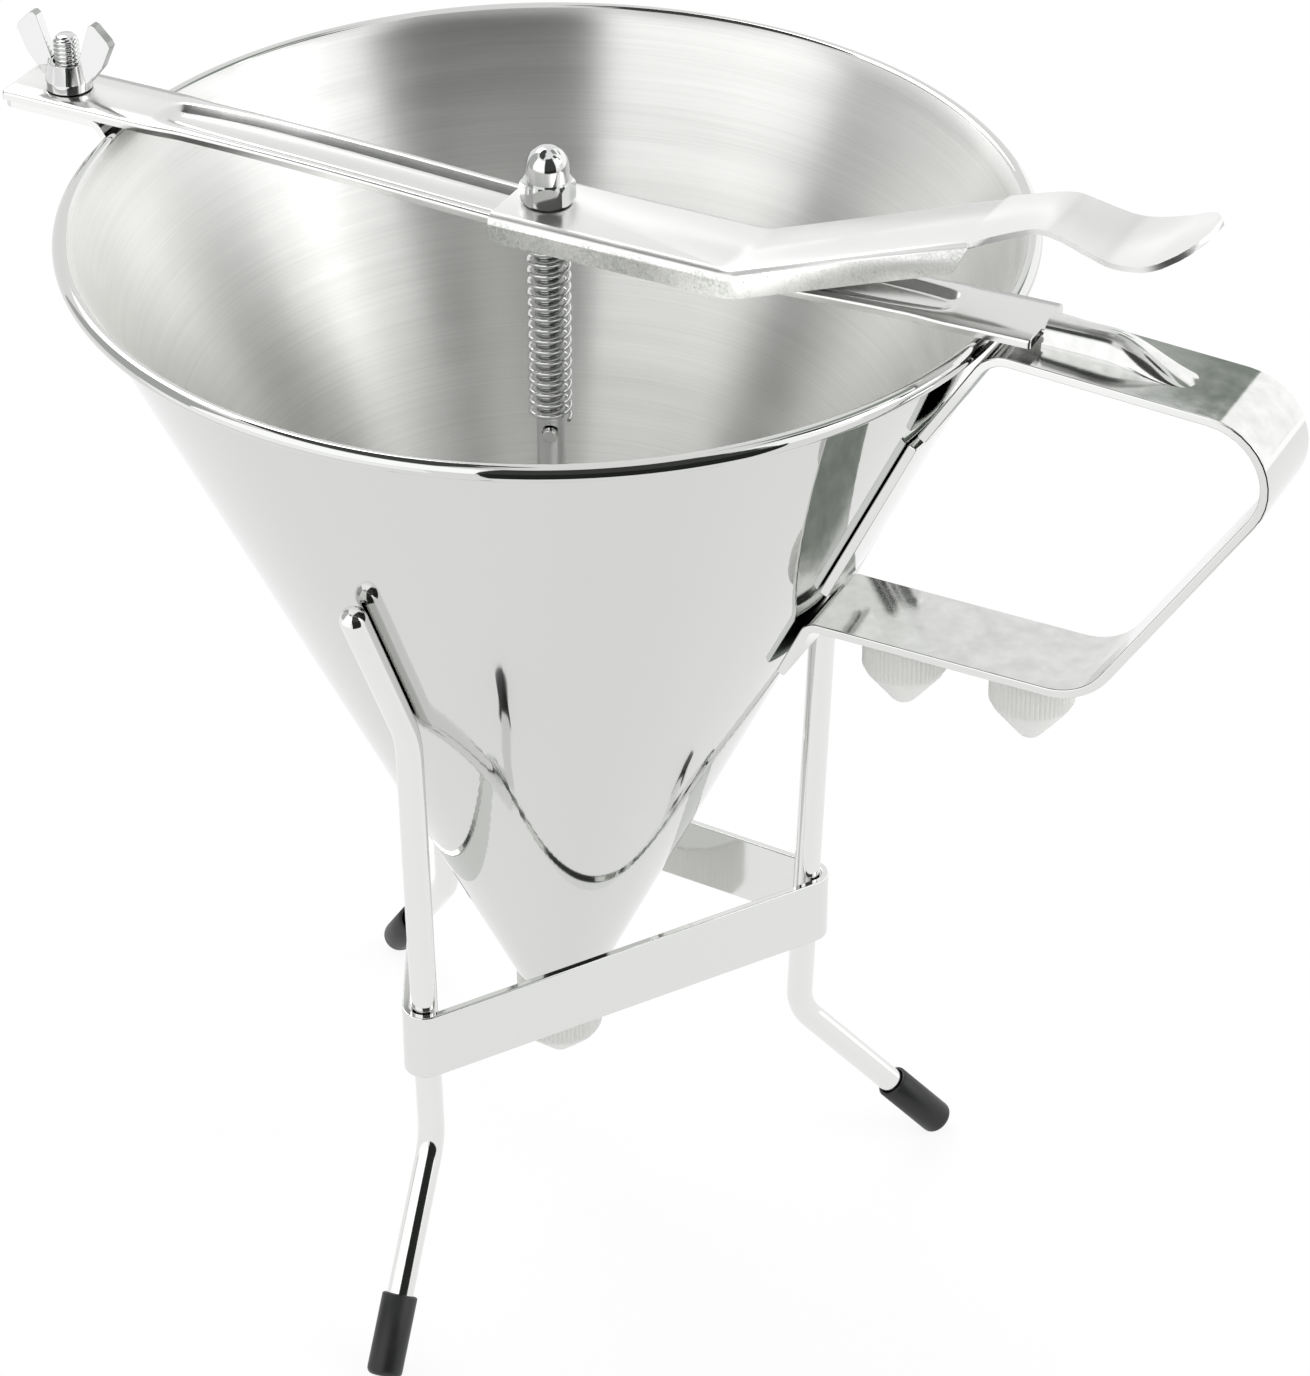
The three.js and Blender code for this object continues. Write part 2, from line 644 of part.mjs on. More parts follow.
const pivotPin = () => crossRod(pivotRadius, leverWidth - 2 * leverSheet - 2 * clearance, pivotPlace, pivotHeight);

// Lever: a channel folded down at both sides, bent up past the fulcrum, with a flat curved thumb rest.
function lever() {
  const corners = toPoints([[leverStart, leverTop], [leverBend, leverTop], [leverRamp, leverTop + leverRise]]);
  const flat = leverWidth / 2 - leverFold;
  const inner = leverFold - leverSheet;
  const deep = leverFlange + overrun;
  const side = [[deep, 0], ...[90, 60, 30, 0].map((angle) => [0, radians(angle)])];
  const edge = (radius) => side.map(([drop, angle], i) => (i === 0 ? [flat + radius, -drop]
    : [flat + radius * Math.sin(angle), radius * Math.cos(angle) - leverFold]));
  const across = (radius) => [...edge(radius).map(([y, n]) => [-y, n]), ...edge(radius).reverse()];
  const place = (step) => ([y, n]) => {
    const up = leftOf(step.heading).multiplyScalar(n).add(step.point);
    return new THREE.Vector3(up.x, y, up.y);
  };
  const channel = sheetOf(bentPath(corners, [leverBendRadius]).map((step) => ({
    lower: across(inner).map(place(step)),
    upper: across(leverFold).map(place(step)),
  })));
  return fuse([channel.subtract(leverBelly(corners)), thumbRest()]).subtract(leverSlot());
}

// What is cut away below the channel's flanges, with a rounded left corner and slanted right ends.
function leverBelly(corners) {
  const line = bentPath(corners, [leverBendRadius]).map((step) => step.point.clone()
    .add(leftOf(step.heading).multiplyScalar(-leverFlange)));
  const last = corners[2];
  const rise = corners[2].clone().sub(corners[1]).normalize();
  const normal = leftOf(rise.angle());
  const slantFoot = last.clone().sub(rise.clone().multiplyScalar(leverFlangeEnd))
    .sub(normal.clone().multiplyScalar(leverFlange));
  const slantTop = last.clone().sub(normal.clone().multiplyScalar(leverSheet));
  const far = last.clone().add(rise.multiplyScalar(leverFlange + overrun)).sub(normal.multiplyScalar(leverSheet));
  const low = leverTop - leverFlange - 2 * overrun;
  const start = at(leverStart, leverTop - leverFlange);
  const soft = roundedCorner(at(leverStart, leverTop), start, line[1], leverCornerRounding).map((step) => step.point);
  const outline = [at(leverStart - overrun, leverTop - leverSheet - leverFold), at(leverStart, leverTop - leverSheet
    - leverFold), ...soft, ...line.slice(1, -1), slantFoot, slantTop, far, at(far.x, low),
  at(leverStart - overrun, low)];
  return crosswise(outline, leverWidth + overrun);
}

// Thumb rest: a flat strip that dips and rises to a rounded tip.
function thumbRest() {
  const origin = at(leverRamp, leverTop + leverRise);
  const curve = new THREE.SplineCurve(thumbShares.map(([x, z]) => at(x * thumbLength, z * thumbRise).add(origin)));
  const slope = Math.atan2(leverRise, leverRamp - leverBend);
  const rows = Array.from({ length: thumbRows + 1 }, (_, i) => {
    const share = i / thumbRows;
    const point = curve.getPoint(share);
    const heading = share === 0 ? slope : curve.getTangent(share).angle();
    return { point, heading, half: thumbHalfWidth * shareAt(thumbWidthShares, (point.x - origin.x) / thumbLength) };
  });
  const root = origin.clone().sub(at(Math.cos(slope), Math.sin(slope)).multiplyScalar(leverSheet));
  rows.unshift({ point: root, heading: slope, half: leverWidth / 2 - leverFold });
  const acrossShares = [-1, -0.6, 0, 0.6, 1];
  return sheetOf(rows.map(({ point, heading, half }) => {
    const down = leftOf(heading).multiplyScalar(-leverSheet).add(point);
    return {
      lower: acrossShares.map((share) => new THREE.Vector3(down.x, share * half, down.y)),
      upper: acrossShares.map((share) => new THREE.Vector3(point.x, share * half, point.y)),
    };
  }));
}

function leverSlot() {
  const corners = toPoints([[slotStart, -slotWidth / 2], [slotEnd, -slotWidth / 2], [slotEnd, slotWidth / 2],
    [slotStart, slotWidth / 2]]);
  return upright(softOutline(corners, slotWidth / 2 - clearance), leverTop - leverSheet - overrun,
    leverTop + overrun);
}

// Piston rod with a cross hole for the pin and a thin end for the stopper.
function pistonRod() {
  const rod = turned([[0, -rodBottom - rodSpigotLength], [rodSpigot, -rodBottom - rodSpigotLength],
    [rodSpigot, -rodBottom], [rodRadius, -rodBottom], [rodRadius, rodTop], [0, rodTop]], largeSides);
  return rod.subtract(pinAlong(pinRadius + clearance, 4 * rodRadius));
}

// A round pin across the rod, turned to its direction.
function pinAlong(radius, length) {
  const pin = post(radius, -length / 2, length / 2).rotate([0, 90, 0]).rotate([0, 0, pinAzimuth]);
  return moved(pin, 0, 0, -pinDepth);
}

const crossPin = () => pinAlong(pinRadius, pinLength);

// Dome nut: a hexagon with chamfered corners under a turned dome, bored blind for the rod.
function domeNut() {
  const flat = nutAcrossFlats / 2;
  const corner = flat / Math.cos(Math.PI / 6);
  const hex = Array.from({ length: 6 }, (_, k) => {
    const angle = radians(nutAzimuth + 30 + 60 * k);
    return at(corner * Math.cos(angle), corner * Math.sin(angle));
  });
  const chamfer = corner - flat;
  const envelope = turned([[0, 0], [flat, 0], [corner, chamfer], [corner, nutHexHeight - chamfer],
    [flat, nutHexHeight], [0, nutHexHeight]], largeSides);
  const shoulder = nutHeight - nutDomeRadius;
  const arc = [0, 22.5, 45, 67.5, 90].map(radians).map((angle) => [nutDomeRadius * Math.cos(angle),
    shoulder + nutDomeRadius * Math.sin(angle)]);
  const dome = turned([[0, 0], [nutDomeRadius, 0], ...arc.slice(0, -1), [0, nutHeight]], largeSides);
  const seat = leverTop + clearance;
  const bore = post(rodRadius + clearance, -overrun, rodTop + clearance - seat);
  const nut = upright(hex, 0, nutHexHeight).intersect(envelope).add(dome).subtract(bore);
  return moved(nut, 0, 0, seat);
}

// Stopper: the rod's pointed end, which closes the nozzle's inner cone.
function stopper() {
  const top = -rodBottom - clearance;
  const slope = (outletBore - nozzleOrifice) / (nozzleThroat - nozzleFloor - orificeLand);
  const gap = clearance / Math.cos(Math.atan(slope));
  const bottom = nozzleFloor + orificeLand + stopperTip;
  const knee = bottom + (rodRadius + gap - innerCone(bottom)) / slope;
  const outside = turned([[0, bottom], [innerCone(bottom) - gap, bottom], [rodRadius, knee], [rodRadius, top],
    [0, top]], largeSides);
  const socket = post(rodSpigot + clearance, top - rodSpigotLength, top + overrun);
  return outside.subtract(socket);
}

// Return spring: one unbroken wire, open coils with a closed coil at each end.
function springPath() {
  const top = barHeightAt(0) - barSheet - clearance - springWire;
  const bottom = -pinDepth + pinRadius + clearance + springWire;
  const openPitch = (top - bottom - 2 * springEndPitch) / (springCoils - 2);
  const heightAt = (coil) => {
    const open = THREE.MathUtils.clamp(coil - 1, 0, springCoils - 2);
    return bottom + openPitch * open + springEndPitch * (coil - open);
  };
  return Array.from({ length: springCoils * springSteps + 1 }, (_, k) => {
    const coil = k / springSteps;
    return { angle: 2 * Math.PI * coil, height: heightAt(coil) };
  });
}

function springRings() {
  return springPath().map(({ angle, height }) => Array.from({ length: springSides }, (_, j) => {
    const turn = 2 * Math.PI * j / springSides;
    const reach = springRadius + springWire * Math.sin(turn);
    return new THREE.Vector3(reach * Math.cos(angle), reach * Math.sin(angle), height + springWire * Math.cos(turn));
  }));
}

// Least distance between points of the wire that lie half a coil or more apart along it.
function springGap(rings) {
  let least = Infinity;
  rings.forEach((ring, i) => rings.slice(i + springSteps / 2).forEach((other) => ring.forEach((p) => {
    other.forEach((q) => {
      least = Math.min(least, p.distanceTo(q));
    });
  })));
  return least;
}

function returnSpring() {
  const rings = springRings();
  console.log('least gap between the coils of the spring:', springGap(rings).toFixed(2), 'mm');
  const fan = Array.from({ length: springSides - 2 }, (_, k) => [0, k + 1, k + 2]);
  return loft(rings, fan);
}

// Corners of a leg in its own upright plane: its top and knee along the cone, and the bend above its foot.
const legConeOffset = sideways(legRadius + clearance);
const legTop = new THREE.Vector3(coneRadius(-legTopDepth) + legConeOffset, 0, -legTopDepth);
const legKnee = new THREE.Vector3(coneRadius(-legBendDepth) + legConeOffset, 0, -legBendDepth);
const legHeel = new THREE.Vector3(legKnee.x - legLean, 0, -legFootDepth);

// How far a tilted cap with a rounded edge reaches below the middle of its end face.
const capDrop = (capRadius - capRounding) * Math.sin(radians(legFootAngle)) + capRounding
  - capRounding * Math.cos(radians(legFootAngle));
const capTipHeight = capDrop - capFlat - rimHeight;

// Direction of a foot, down and outwards, turned by its twist.
function footWay(twist) {
  const out = Math.sin(radians(legFootAngle));
  return new THREE.Vector3(out * Math.cos(radians(twist)), out * Math.sin(radians(twist)),
    -Math.cos(radians(legFootAngle)));
}

// Middle of the end face of a foot's cap.
function capTip(twist) {
  const way = footWay(twist);
  return legHeel.clone().add(way.multiplyScalar((capTipHeight - legHeel.z) / way.z));
}

// The arc that rounds one corner of a rod's middle line.
function rodBend(before, corner, after, radius) {
  const arriving = corner.clone().sub(before).normalize();
  const leaving = after.clone().sub(corner).normalize();
  const turn = arriving.angleTo(leaving);
  const axis = arriving.clone().cross(leaving).normalize();
  const inward = axis.clone().cross(arriving).multiplyScalar(radius);
  const start = corner.clone().sub(arriving.multiplyScalar(radius * Math.tan(turn / 2)));
  return Array.from({ length: bendSteps + 1 }, (_, k) => inward.clone().negate()
    .applyAxisAngle(axis, turn * k / bendSteps).add(start).add(inward));
}

function leg(azimuth, twist) {
  const end = capTip(twist).sub(footWay(twist).multiplyScalar(capEnd + clearance));
  const points = [legTop, ...rodBend(legTop, legKnee, legHeel, legBendRadius),
    ...rodBend(legKnee, legHeel, end, legFootBend), end];
  const route = new THREE.CurvePath();
  points.slice(1).forEach((point, i) => route.add(new THREE.LineCurve3(points[i], point)));
  const section = new THREE.Shape(Array.from({ length: legSides }, (_, k) => at(
    legRadius * Math.cos(2 * Math.PI * k / legSides),
    legRadius * Math.sin(2 * Math.PI * k / legSides),
  )));
  const rod = solidOf(new THREE.ExtrudeGeometry(section, { steps: legSteps, extrudePath: route }));
  const dome = solidOf(new THREE.SphereGeometry(legRadius, legSides, legSides / 2));
  return rod.add(moved(dome, legTop.x, legTop.y, legTop.z)).rotate([0, 0, azimuth]);
}

// Rubber cap on a leg's end, flat where it stands on the table.
function footCap(azimuth, twist) {
  const inner = legRadius + clearance;
  const arc = [0, 30, 60, 90].map(radians).map((angle) => [capRadius - capRounding + capRounding * Math.sin(angle),
    capRounding - capRounding * Math.cos(angle)]);
  const shape = turned([[0, 0], ...arc, [capRadius, capLength], [inner, capLength], [inner, capEnd], [0, capEnd]],
    largeSides);
  const square = toPoints([[-capLength, -capLength], [capLength, -capLength], [capLength, capLength],
    [-capLength, capLength]]);
  const table = upright(square, -capLength, capFlat - capDrop);
  const stood = shape.rotate([0, -legFootAngle, 0]).subtract(table).rotate([0, 0, twist]);
  const tip = capTip(twist);
  return moved(stood, tip.x, tip.y, tip.z).rotate([0, 0, azimuth]);
}

const legAzimuths = [0, 1, 2].map((k) => legAzimuth + 120 * k);

// Band: one flat strip bent round the outside of the three legs.
function standBand() {
  const share = (bandTopDepth - legBendDepth) / (legFootDepth - legBendDepth);
  const reach = legKnee.x - legLean * share;
  const ring = (radius) => legAzimuths.flatMap((azimuth) => {
    const middle = radians(azimuth);
    return Array.from({ length: bendSteps + 1 }, (_, k) => {
      const angle = middle + (k / bendSteps - 1 / 2) * 2 * Math.PI / 3;
      return at(
        reach * Math.cos(middle) + radius * Math.cos(angle),
        reach * Math.sin(middle) + radius * Math.sin(angle),
      );
    });
  });
  const inside = legRadius + clearance;
  return upright(ring(inside + bandSheet), -bandTopDepth - bandHeight, -bandTopDepth, [ring(inside)]);
}

const funnel = new THREE.Group();
funnel.position.z = rimHeight;
funnel.add(
  piece('funnel_cone', funnelCone(), steel),
  piece('outlet_ferrule', outletFerrule(), steel),
  piece('nozzle', mainNozzle(), plastic),
  piece('handle_strip', handleStrip(), steel),
  piece('handle_backing_strip', handleBackingStrip(), steel),
  piece('bar_bracket', barBracket(), steel),
  piece('bracket_stud', bracketStud(), steel),
  piece('wing_nut', wingNut(), steel),
  piece('crossbar', crossbar(), brushed),
  piece('fulcrum_lug', fulcrumLug(), steel),
  piece('pivot_pin', pivotPin(), steel),
  piece('lever', lever(), brushed),
  piece('piston_rod', pistonRod(), steel),
  piece('dome_nut', domeNut(), steel),
  piece('cross_pin', crossPin(), steel),
  piece('return_spring', returnSpring(), steel),
  piece('stopper', stopper(), steel),
);
sparePlaces.forEach((_, index) => funnel.add(
  piece(`nozzle_post_${index + 1}`, nozzlePost(index), steel),
  piece(`spare_nozzle_${index + 1}`, spareNozzle(index), plastic),
));

const stand = new THREE.Group();
stand.position.z = rimHeight;
legAzimuths.forEach((azimuth, index) => stand.add(
  piece(`leg_${index + 1}`, leg(azimuth, legFootTwists[index]), steel),
  piece(`foot_cap_${index + 1}`, footCap(azimuth, legFootTwists[index]), rubber),
));
stand.add(piece('stand_band', standBand(), steel));

const group = new THREE.Group();
group.add(funnel, stand);

// The origin lies under the middle of the whole length.
const extent = new THREE.Box3().setFromObject(group);
group.position.x = -extent.getCenter(new THREE.Vector3()).x;

export default group;
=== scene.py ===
import math

import bmesh
import bpy
from mathutils import Matrix, Vector


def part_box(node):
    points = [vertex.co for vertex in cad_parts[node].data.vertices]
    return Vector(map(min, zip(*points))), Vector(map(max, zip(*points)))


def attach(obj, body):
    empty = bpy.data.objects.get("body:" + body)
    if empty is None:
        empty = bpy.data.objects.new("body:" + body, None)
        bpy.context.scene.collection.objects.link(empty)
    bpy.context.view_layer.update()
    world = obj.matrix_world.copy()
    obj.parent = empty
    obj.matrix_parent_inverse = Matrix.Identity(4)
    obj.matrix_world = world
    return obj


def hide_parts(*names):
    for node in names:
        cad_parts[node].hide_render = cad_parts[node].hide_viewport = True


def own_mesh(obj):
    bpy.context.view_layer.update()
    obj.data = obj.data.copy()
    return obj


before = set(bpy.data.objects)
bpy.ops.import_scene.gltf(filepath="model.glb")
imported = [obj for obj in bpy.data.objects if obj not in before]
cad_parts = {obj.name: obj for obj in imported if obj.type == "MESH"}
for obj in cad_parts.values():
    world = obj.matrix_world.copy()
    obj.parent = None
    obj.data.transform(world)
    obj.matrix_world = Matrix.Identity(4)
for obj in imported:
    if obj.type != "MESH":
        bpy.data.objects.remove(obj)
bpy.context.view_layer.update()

# Studio: a sheet of white paper under the funnel, a bright white room, and two large soft lamps above.
# Cards round the funnel, seen only in reflections, give the polished steel its soft bands.
# The camera is set from the photograph: its focal length is in the photograph's own pixels.
MM = 0.001
RIM_HEIGHT = 242 * MM
PHOTO_FOCAL = 4546.6
PHOTO_HEIGHT = 1376
SENSOR_HEIGHT = 24
CAMERA_RIGHT = 388.41 * MM  # the camera's place from the middle of the rim
CAMERA_NEAR = 718.68 * MM
CAMERA_ABOVE = 436.38 * MM
CAMERA_PITCH = 33.98  # degrees down from level
CAMERA_TURN = 26.87  # degrees to the left
FLOOR_HALF = 3.0  # metres
FLOOR_GLOW = 0.85  # how much of the paper's look is an even glow
CARD_COLUMNS = 16
CARD_ROWS = 8
cone_low, cone_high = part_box("funnel_cone")
AXIS_X = (cone_low[0] + cone_high[0]) / 2


def srgb(code):
    """A hex colour as the linear colour that a shader takes."""
    parts = [int(code[i:i + 2], 16) / 255 for i in (1, 3, 5)]
    return [p / 12.92 if p <= 0.04045 else ((p + 0.055) / 1.055) ** 2.4 for p in parts] + [1]


def add_node(tree, kind, settings=None, **links):
    """Adds one node, sets its properties and inputs, and links the inputs that are given as sockets."""
    node = tree.nodes.new(kind)
    for key, value in (settings or {}).items():
        setattr(node, key, value)
    for key, value in links.items():
        name = int(key[1:]) if key[0] == "_" else key.replace("_", " ")
        socket = node.inputs[name]
        if isinstance(value, bpy.types.NodeSocket):
            tree.links.new(value, socket)
        else:
            socket.default_value = value
    return node


def new_material(name):
    """An empty material and its node tree."""
    material = bpy.data.materials.new(name)
    material.use_nodes = True
    material.node_tree.nodes.clear()
    return material, material.node_tree


camera_data = bpy.data.cameras.new("camera")
camera_data.sensor_fit = "VERTICAL"
camera_data.sensor_height = SENSOR_HEIGHT
camera_data.lens = PHOTO_FOCAL * SENSOR_HEIGHT / PHOTO_HEIGHT
camera_data.clip_start = 0.05
camera = bpy.data.objects.new("camera", camera_data)
camera.location = (AXIS_X + CAMERA_RIGHT, -CAMERA_NEAR, RIM_HEIGHT + CAMERA_ABOVE)
camera.rotation_euler = (math.radians(90 - CAMERA_PITCH), 0, math.radians(CAMERA_TURN))
bpy.context.scene.collection.objects.link(camera)
bpy.context.scene.camera = camera
bpy.context.scene.view_settings.view_transform = "Standard"

world = bpy.data.worlds.new("bright_room")
world.use_nodes = True
world.node_tree.nodes.clear()


def seen_rays(tree):
    """1 for rays that see the background: from the camera, or by a reflection or through glass."""
    path = add_node(tree, "ShaderNodeLightPath")
    seen = add_node(tree, "ShaderNodeMath", {"operation": "MAXIMUM"}, _0=path.outputs["Is Camera Ray"],
                    _1=path.outputs["Is Glossy Ray"])
    return add_node(tree, "ShaderNodeMath", {"operation": "MAXIMUM"}, _0=seen.outputs[0],
                    _1=path.outputs["Is Transmission Ray"]).outputs[0]


level = add_node(world.node_tree, "ShaderNodeMapRange", {}, Value=seen_rays(world.node_tree), To_Min=0.75,
                 To_Max=1.0)
room = add_node(world.node_tree, "ShaderNodeBackground", {}, Color=(1, 1, 1, 1), Strength=level.outputs[0])
add_node(world.node_tree, "ShaderNodeOutputWorld", {}, Surface=room.outputs[0])
bpy.context.scene.world = world

sheet, tree = new_material("white_paper_sweep")
diffuse = add_node(tree, "ShaderNodeBsdfDiffuse", {}, Color=srgb("#f7f7f7"))
glow = add_node(tree, "ShaderNodeEmission", {}, Color=(1, 1, 1, 1), Strength=1.03)
lit = add_node(tree, "ShaderNodeMath", {"operation": "MULTIPLY"}, _0=seen_rays(tree), _1=FLOOR_GLOW)
paper = add_node(tree, "ShaderNodeMixShader", {}, Fac=lit.outputs[0], _1=diffuse.outputs[0],
                 _2=glow.outputs[0])
add_node(tree, "ShaderNodeOutputMaterial", {}, Surface=paper.outputs[0])
bm = bmesh.new()
bmesh.ops.create_grid(bm, x_segments=1, y_segments=1, size=FLOOR_HALF)
floor_mesh = bpy.data.meshes.new("floor")
bm.to_mesh(floor_mesh)
bm.free()
floor_mesh.materials.append(sheet)
floor = bpy.data.objects.new("floor", floor_mesh)
bpy.context.scene.collection.objects.link(floor)


def soft_lamp(name, place, target, size, watts):
    """A square area lamp that looks at a point."""
    lamp = bpy.data.lights.new(name, "AREA")
    lamp.shape = "SQUARE"
    lamp.size = size
    lamp.energy = watts
    thing = bpy.data.objects.new(name, lamp)
    thing.location = place
    thing.rotation_euler = (Vector(target) - Vector(place)).to_track_quat("-Z", "Y").to_euler()
    bpy.context.scene.collection.objects.link(thing)


LAMP_TARGET = (0, 0, 0.15)  # in metres, as are the lamps' places
LAMP_SIZE = 0.8
soft_lamp("key_lamp", (-1.0, 0.6, 1.4), LAMP_TARGET, LAMP_SIZE, 7)
soft_lamp("fill_lamp", (1.1, 0.3, 1.0), LAMP_TARGET, LAMP_SIZE, 4)


def card(name, azimuths, elevations, distance, shade, strength=1.0):
    """A curved card that faces the middle of the rim, seen only in reflections.

    Its sides are given as directions from there in degrees, and its distance in metres.
    """
    material, card_tree = new_material(name)
    shine = add_node(card_tree, "ShaderNodeEmission", {}, Color=srgb(shade), Strength=strength)
    add_node(card_tree, "ShaderNodeOutputMaterial", {}, Surface=shine.outputs[0])
    card_bm = bmesh.new()
    bmesh.ops.create_grid(card_bm, x_segments=CARD_COLUMNS, y_segments=CARD_ROWS, size=0.5)
    for vert in card_bm.verts:
        a = math.radians(azimuths[0] + (azimuths[1] - azimuths[0]) * (vert.co.x + 0.5))
        e = math.radians(elevations[0] + (elevations[1] - elevations[0]) * (vert.co.y + 0.5))
        way = Vector((math.cos(a) * math.cos(e), math.sin(a) * math.cos(e), math.sin(e)))
        vert.co = Vector((AXIS_X, 0, RIM_HEIGHT)) + way * distance
    mesh = bpy.data.meshes.new(name)
    card_bm.to_mesh(mesh)
    card_bm.free()
    mesh.materials.append(material)
    thing = bpy.data.objects.new(name, mesh)
    thing.visible_camera = False
    thing.visible_diffuse = False
    thing.visible_shadow = False
    bpy.context.scene.collection.objects.link(thing)


card("dark_by_camera", (-77, -14), (-5, 62), 1.4, "#454645")
card("dark_table_edge", (-75, -17), (-41, 6), 0.36, "#292b29")
card("bright_left_of_camera", (-142, -77), (-2, 50), 1.4, "#ffffff", 1.45)
card("bright_low_left", (-152, -86), (-33, -5), 0.46, "#ffffff", 1.25)
card("bright_right", (-17, 6), (-2, 48), 1.4, "#ffffff", 1.35)
card("bright_far_right", (32, 94), (-20, 44), 1.4, "#ffffff", 1.3)
card("grey_left", (170, 218), (-6, 46), 1.4, "#c0c1c0")
card("grey_above", (-235, -95), (55, 82), 1.4, "#4c4e4c")
card("green_behind_hood", (75, 83.5), (27.5, 34), 0.33, "#b0b5b0")
card("green_behind_handle", (60, 75), (27.5, 34), 0.33, "#868d86")
card("green_over_handle", (50, 92), (47, 66), 1.4, "#9ba29b")
card("dark_right", (8, 32), (27, 62), 1.4, "#3c3d3c")

# Funnel cone: one spun sheet of 18/8 stainless steel, rolled outwards at the rim over a wire.
# It is mirror-polished outside, and brushed round and round inside, which smears reflections up the slope.
MOUTH_RADIUS = 96.96 * MM
APEX_DEPTH = 210.08 * MM
CONE_DEPTH = 189 * MM
CONE_WALL = 0.9 * MM
ROLL_RADIUS = 1.74 * MM
ROLL_MIDDLE = 98.26 * MM
CONE_ANGLE = math.atan2(MOUTH_RADIUS, APEX_DEPTH)
CONE_STEPS = 240
ROLL_START = 205  # degrees round the roll's middle, and how far the sheet curls from there
ROLL_TURN = 290
ROLL_STEPS = 22
MERGE_WITHIN = 0.002 * MM


def cone_radius(z):
    """Outer radius of the cone at a height from the rim plane."""
    return MOUTH_RADIUS * (1 + z / APEX_DEPTH)


def turned(profile, steps):
    """A profile of radius and height points, spun about the vertical axis."""
    bm = bmesh.new()
    points = [bm.verts.new((radius, 0, z)) for radius, z in profile]
    edges = [bm.edges.new(pair) for pair in zip(points, points[1:])]
    bmesh.ops.spin(bm, geom=points + edges, cent=(0, 0, 0), axis=(0, 0, 1), angle=2 * math.pi, steps=steps,
                   use_merge=True, use_duplicate=False)
    return bm


def finished(name, bm, nodes, body, materials, sharp=35, place=(0, 0, RIM_HEIGHT)):
    """Merges a mesh's seams, turns its faces outwards, and gives it to its body in place of its CAD nodes."""
    bmesh.ops.remove_doubles(bm, verts=bm.verts, dist=MERGE_WITHIN)
    bmesh.ops.recalc_face_normals(bm, faces=bm.faces)
    if bm.calc_volume(signed=True) < 0:
        bmesh.ops.reverse_faces(bm, faces=bm.faces)
    bmesh.ops.translate(bm, vec=Vector(place) + Vector((AXIS_X, 0, 0)), verts=bm.verts)
    mesh = bpy.data.meshes.new(name)
    bm.to_mesh(mesh)
    bm.free()
    mesh.shade_smooth()
    mesh.set_sharp_from_angle(angle=math.radians(sharp))
    for material in materials:
        mesh.materials.append(material)
    piece = bpy.data.objects.new(name, mesh)
    bpy.context.scene.collection.objects.link(piece)
    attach(piece, body)
    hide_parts(*nodes)
    return piece


def polished_stainless(name, colour, roughness, wave):
    """Buffed stainless steel: almost a mirror, with the faint ripple and haze that buffing leaves."""
    material, tree = new_material(name)
    ripple_width = 35 * MM
    haze_width = 9 * MM
    haze_spread = 0.3
    place = add_node(tree, "ShaderNodeTexCoord")
    ripple = add_node(tree, "ShaderNodeTexNoise", {}, Vector=place.outputs["Object"], Scale=1 / ripple_width,
                      Detail=1.0)
    haze = add_node(tree, "ShaderNodeTexNoise", {}, Vector=place.outputs["Object"], Scale=1 / haze_width,
                    Detail=4.0)
    matt = add_node(tree, "ShaderNodeMapRange", {}, Value=haze.outputs["Fac"],
                    To_Min=roughness * (1 - haze_spread), To_Max=roughness * (1 + haze_spread))
    bump = add_node(tree, "ShaderNodeBump", {}, Height=ripple.outputs["Fac"], Strength=wave,
                    Distance=0.4 * MM)
    shader = add_node(tree, "ShaderNodeBsdfPrincipled", {}, Base_Color=srgb(colour), Metallic=1.0,
                      Roughness=matt.outputs[0], Normal=bump.outputs[0])
    add_node(tree, "ShaderNodeOutputMaterial", {}, Surface=shader.outputs[0])
    return material


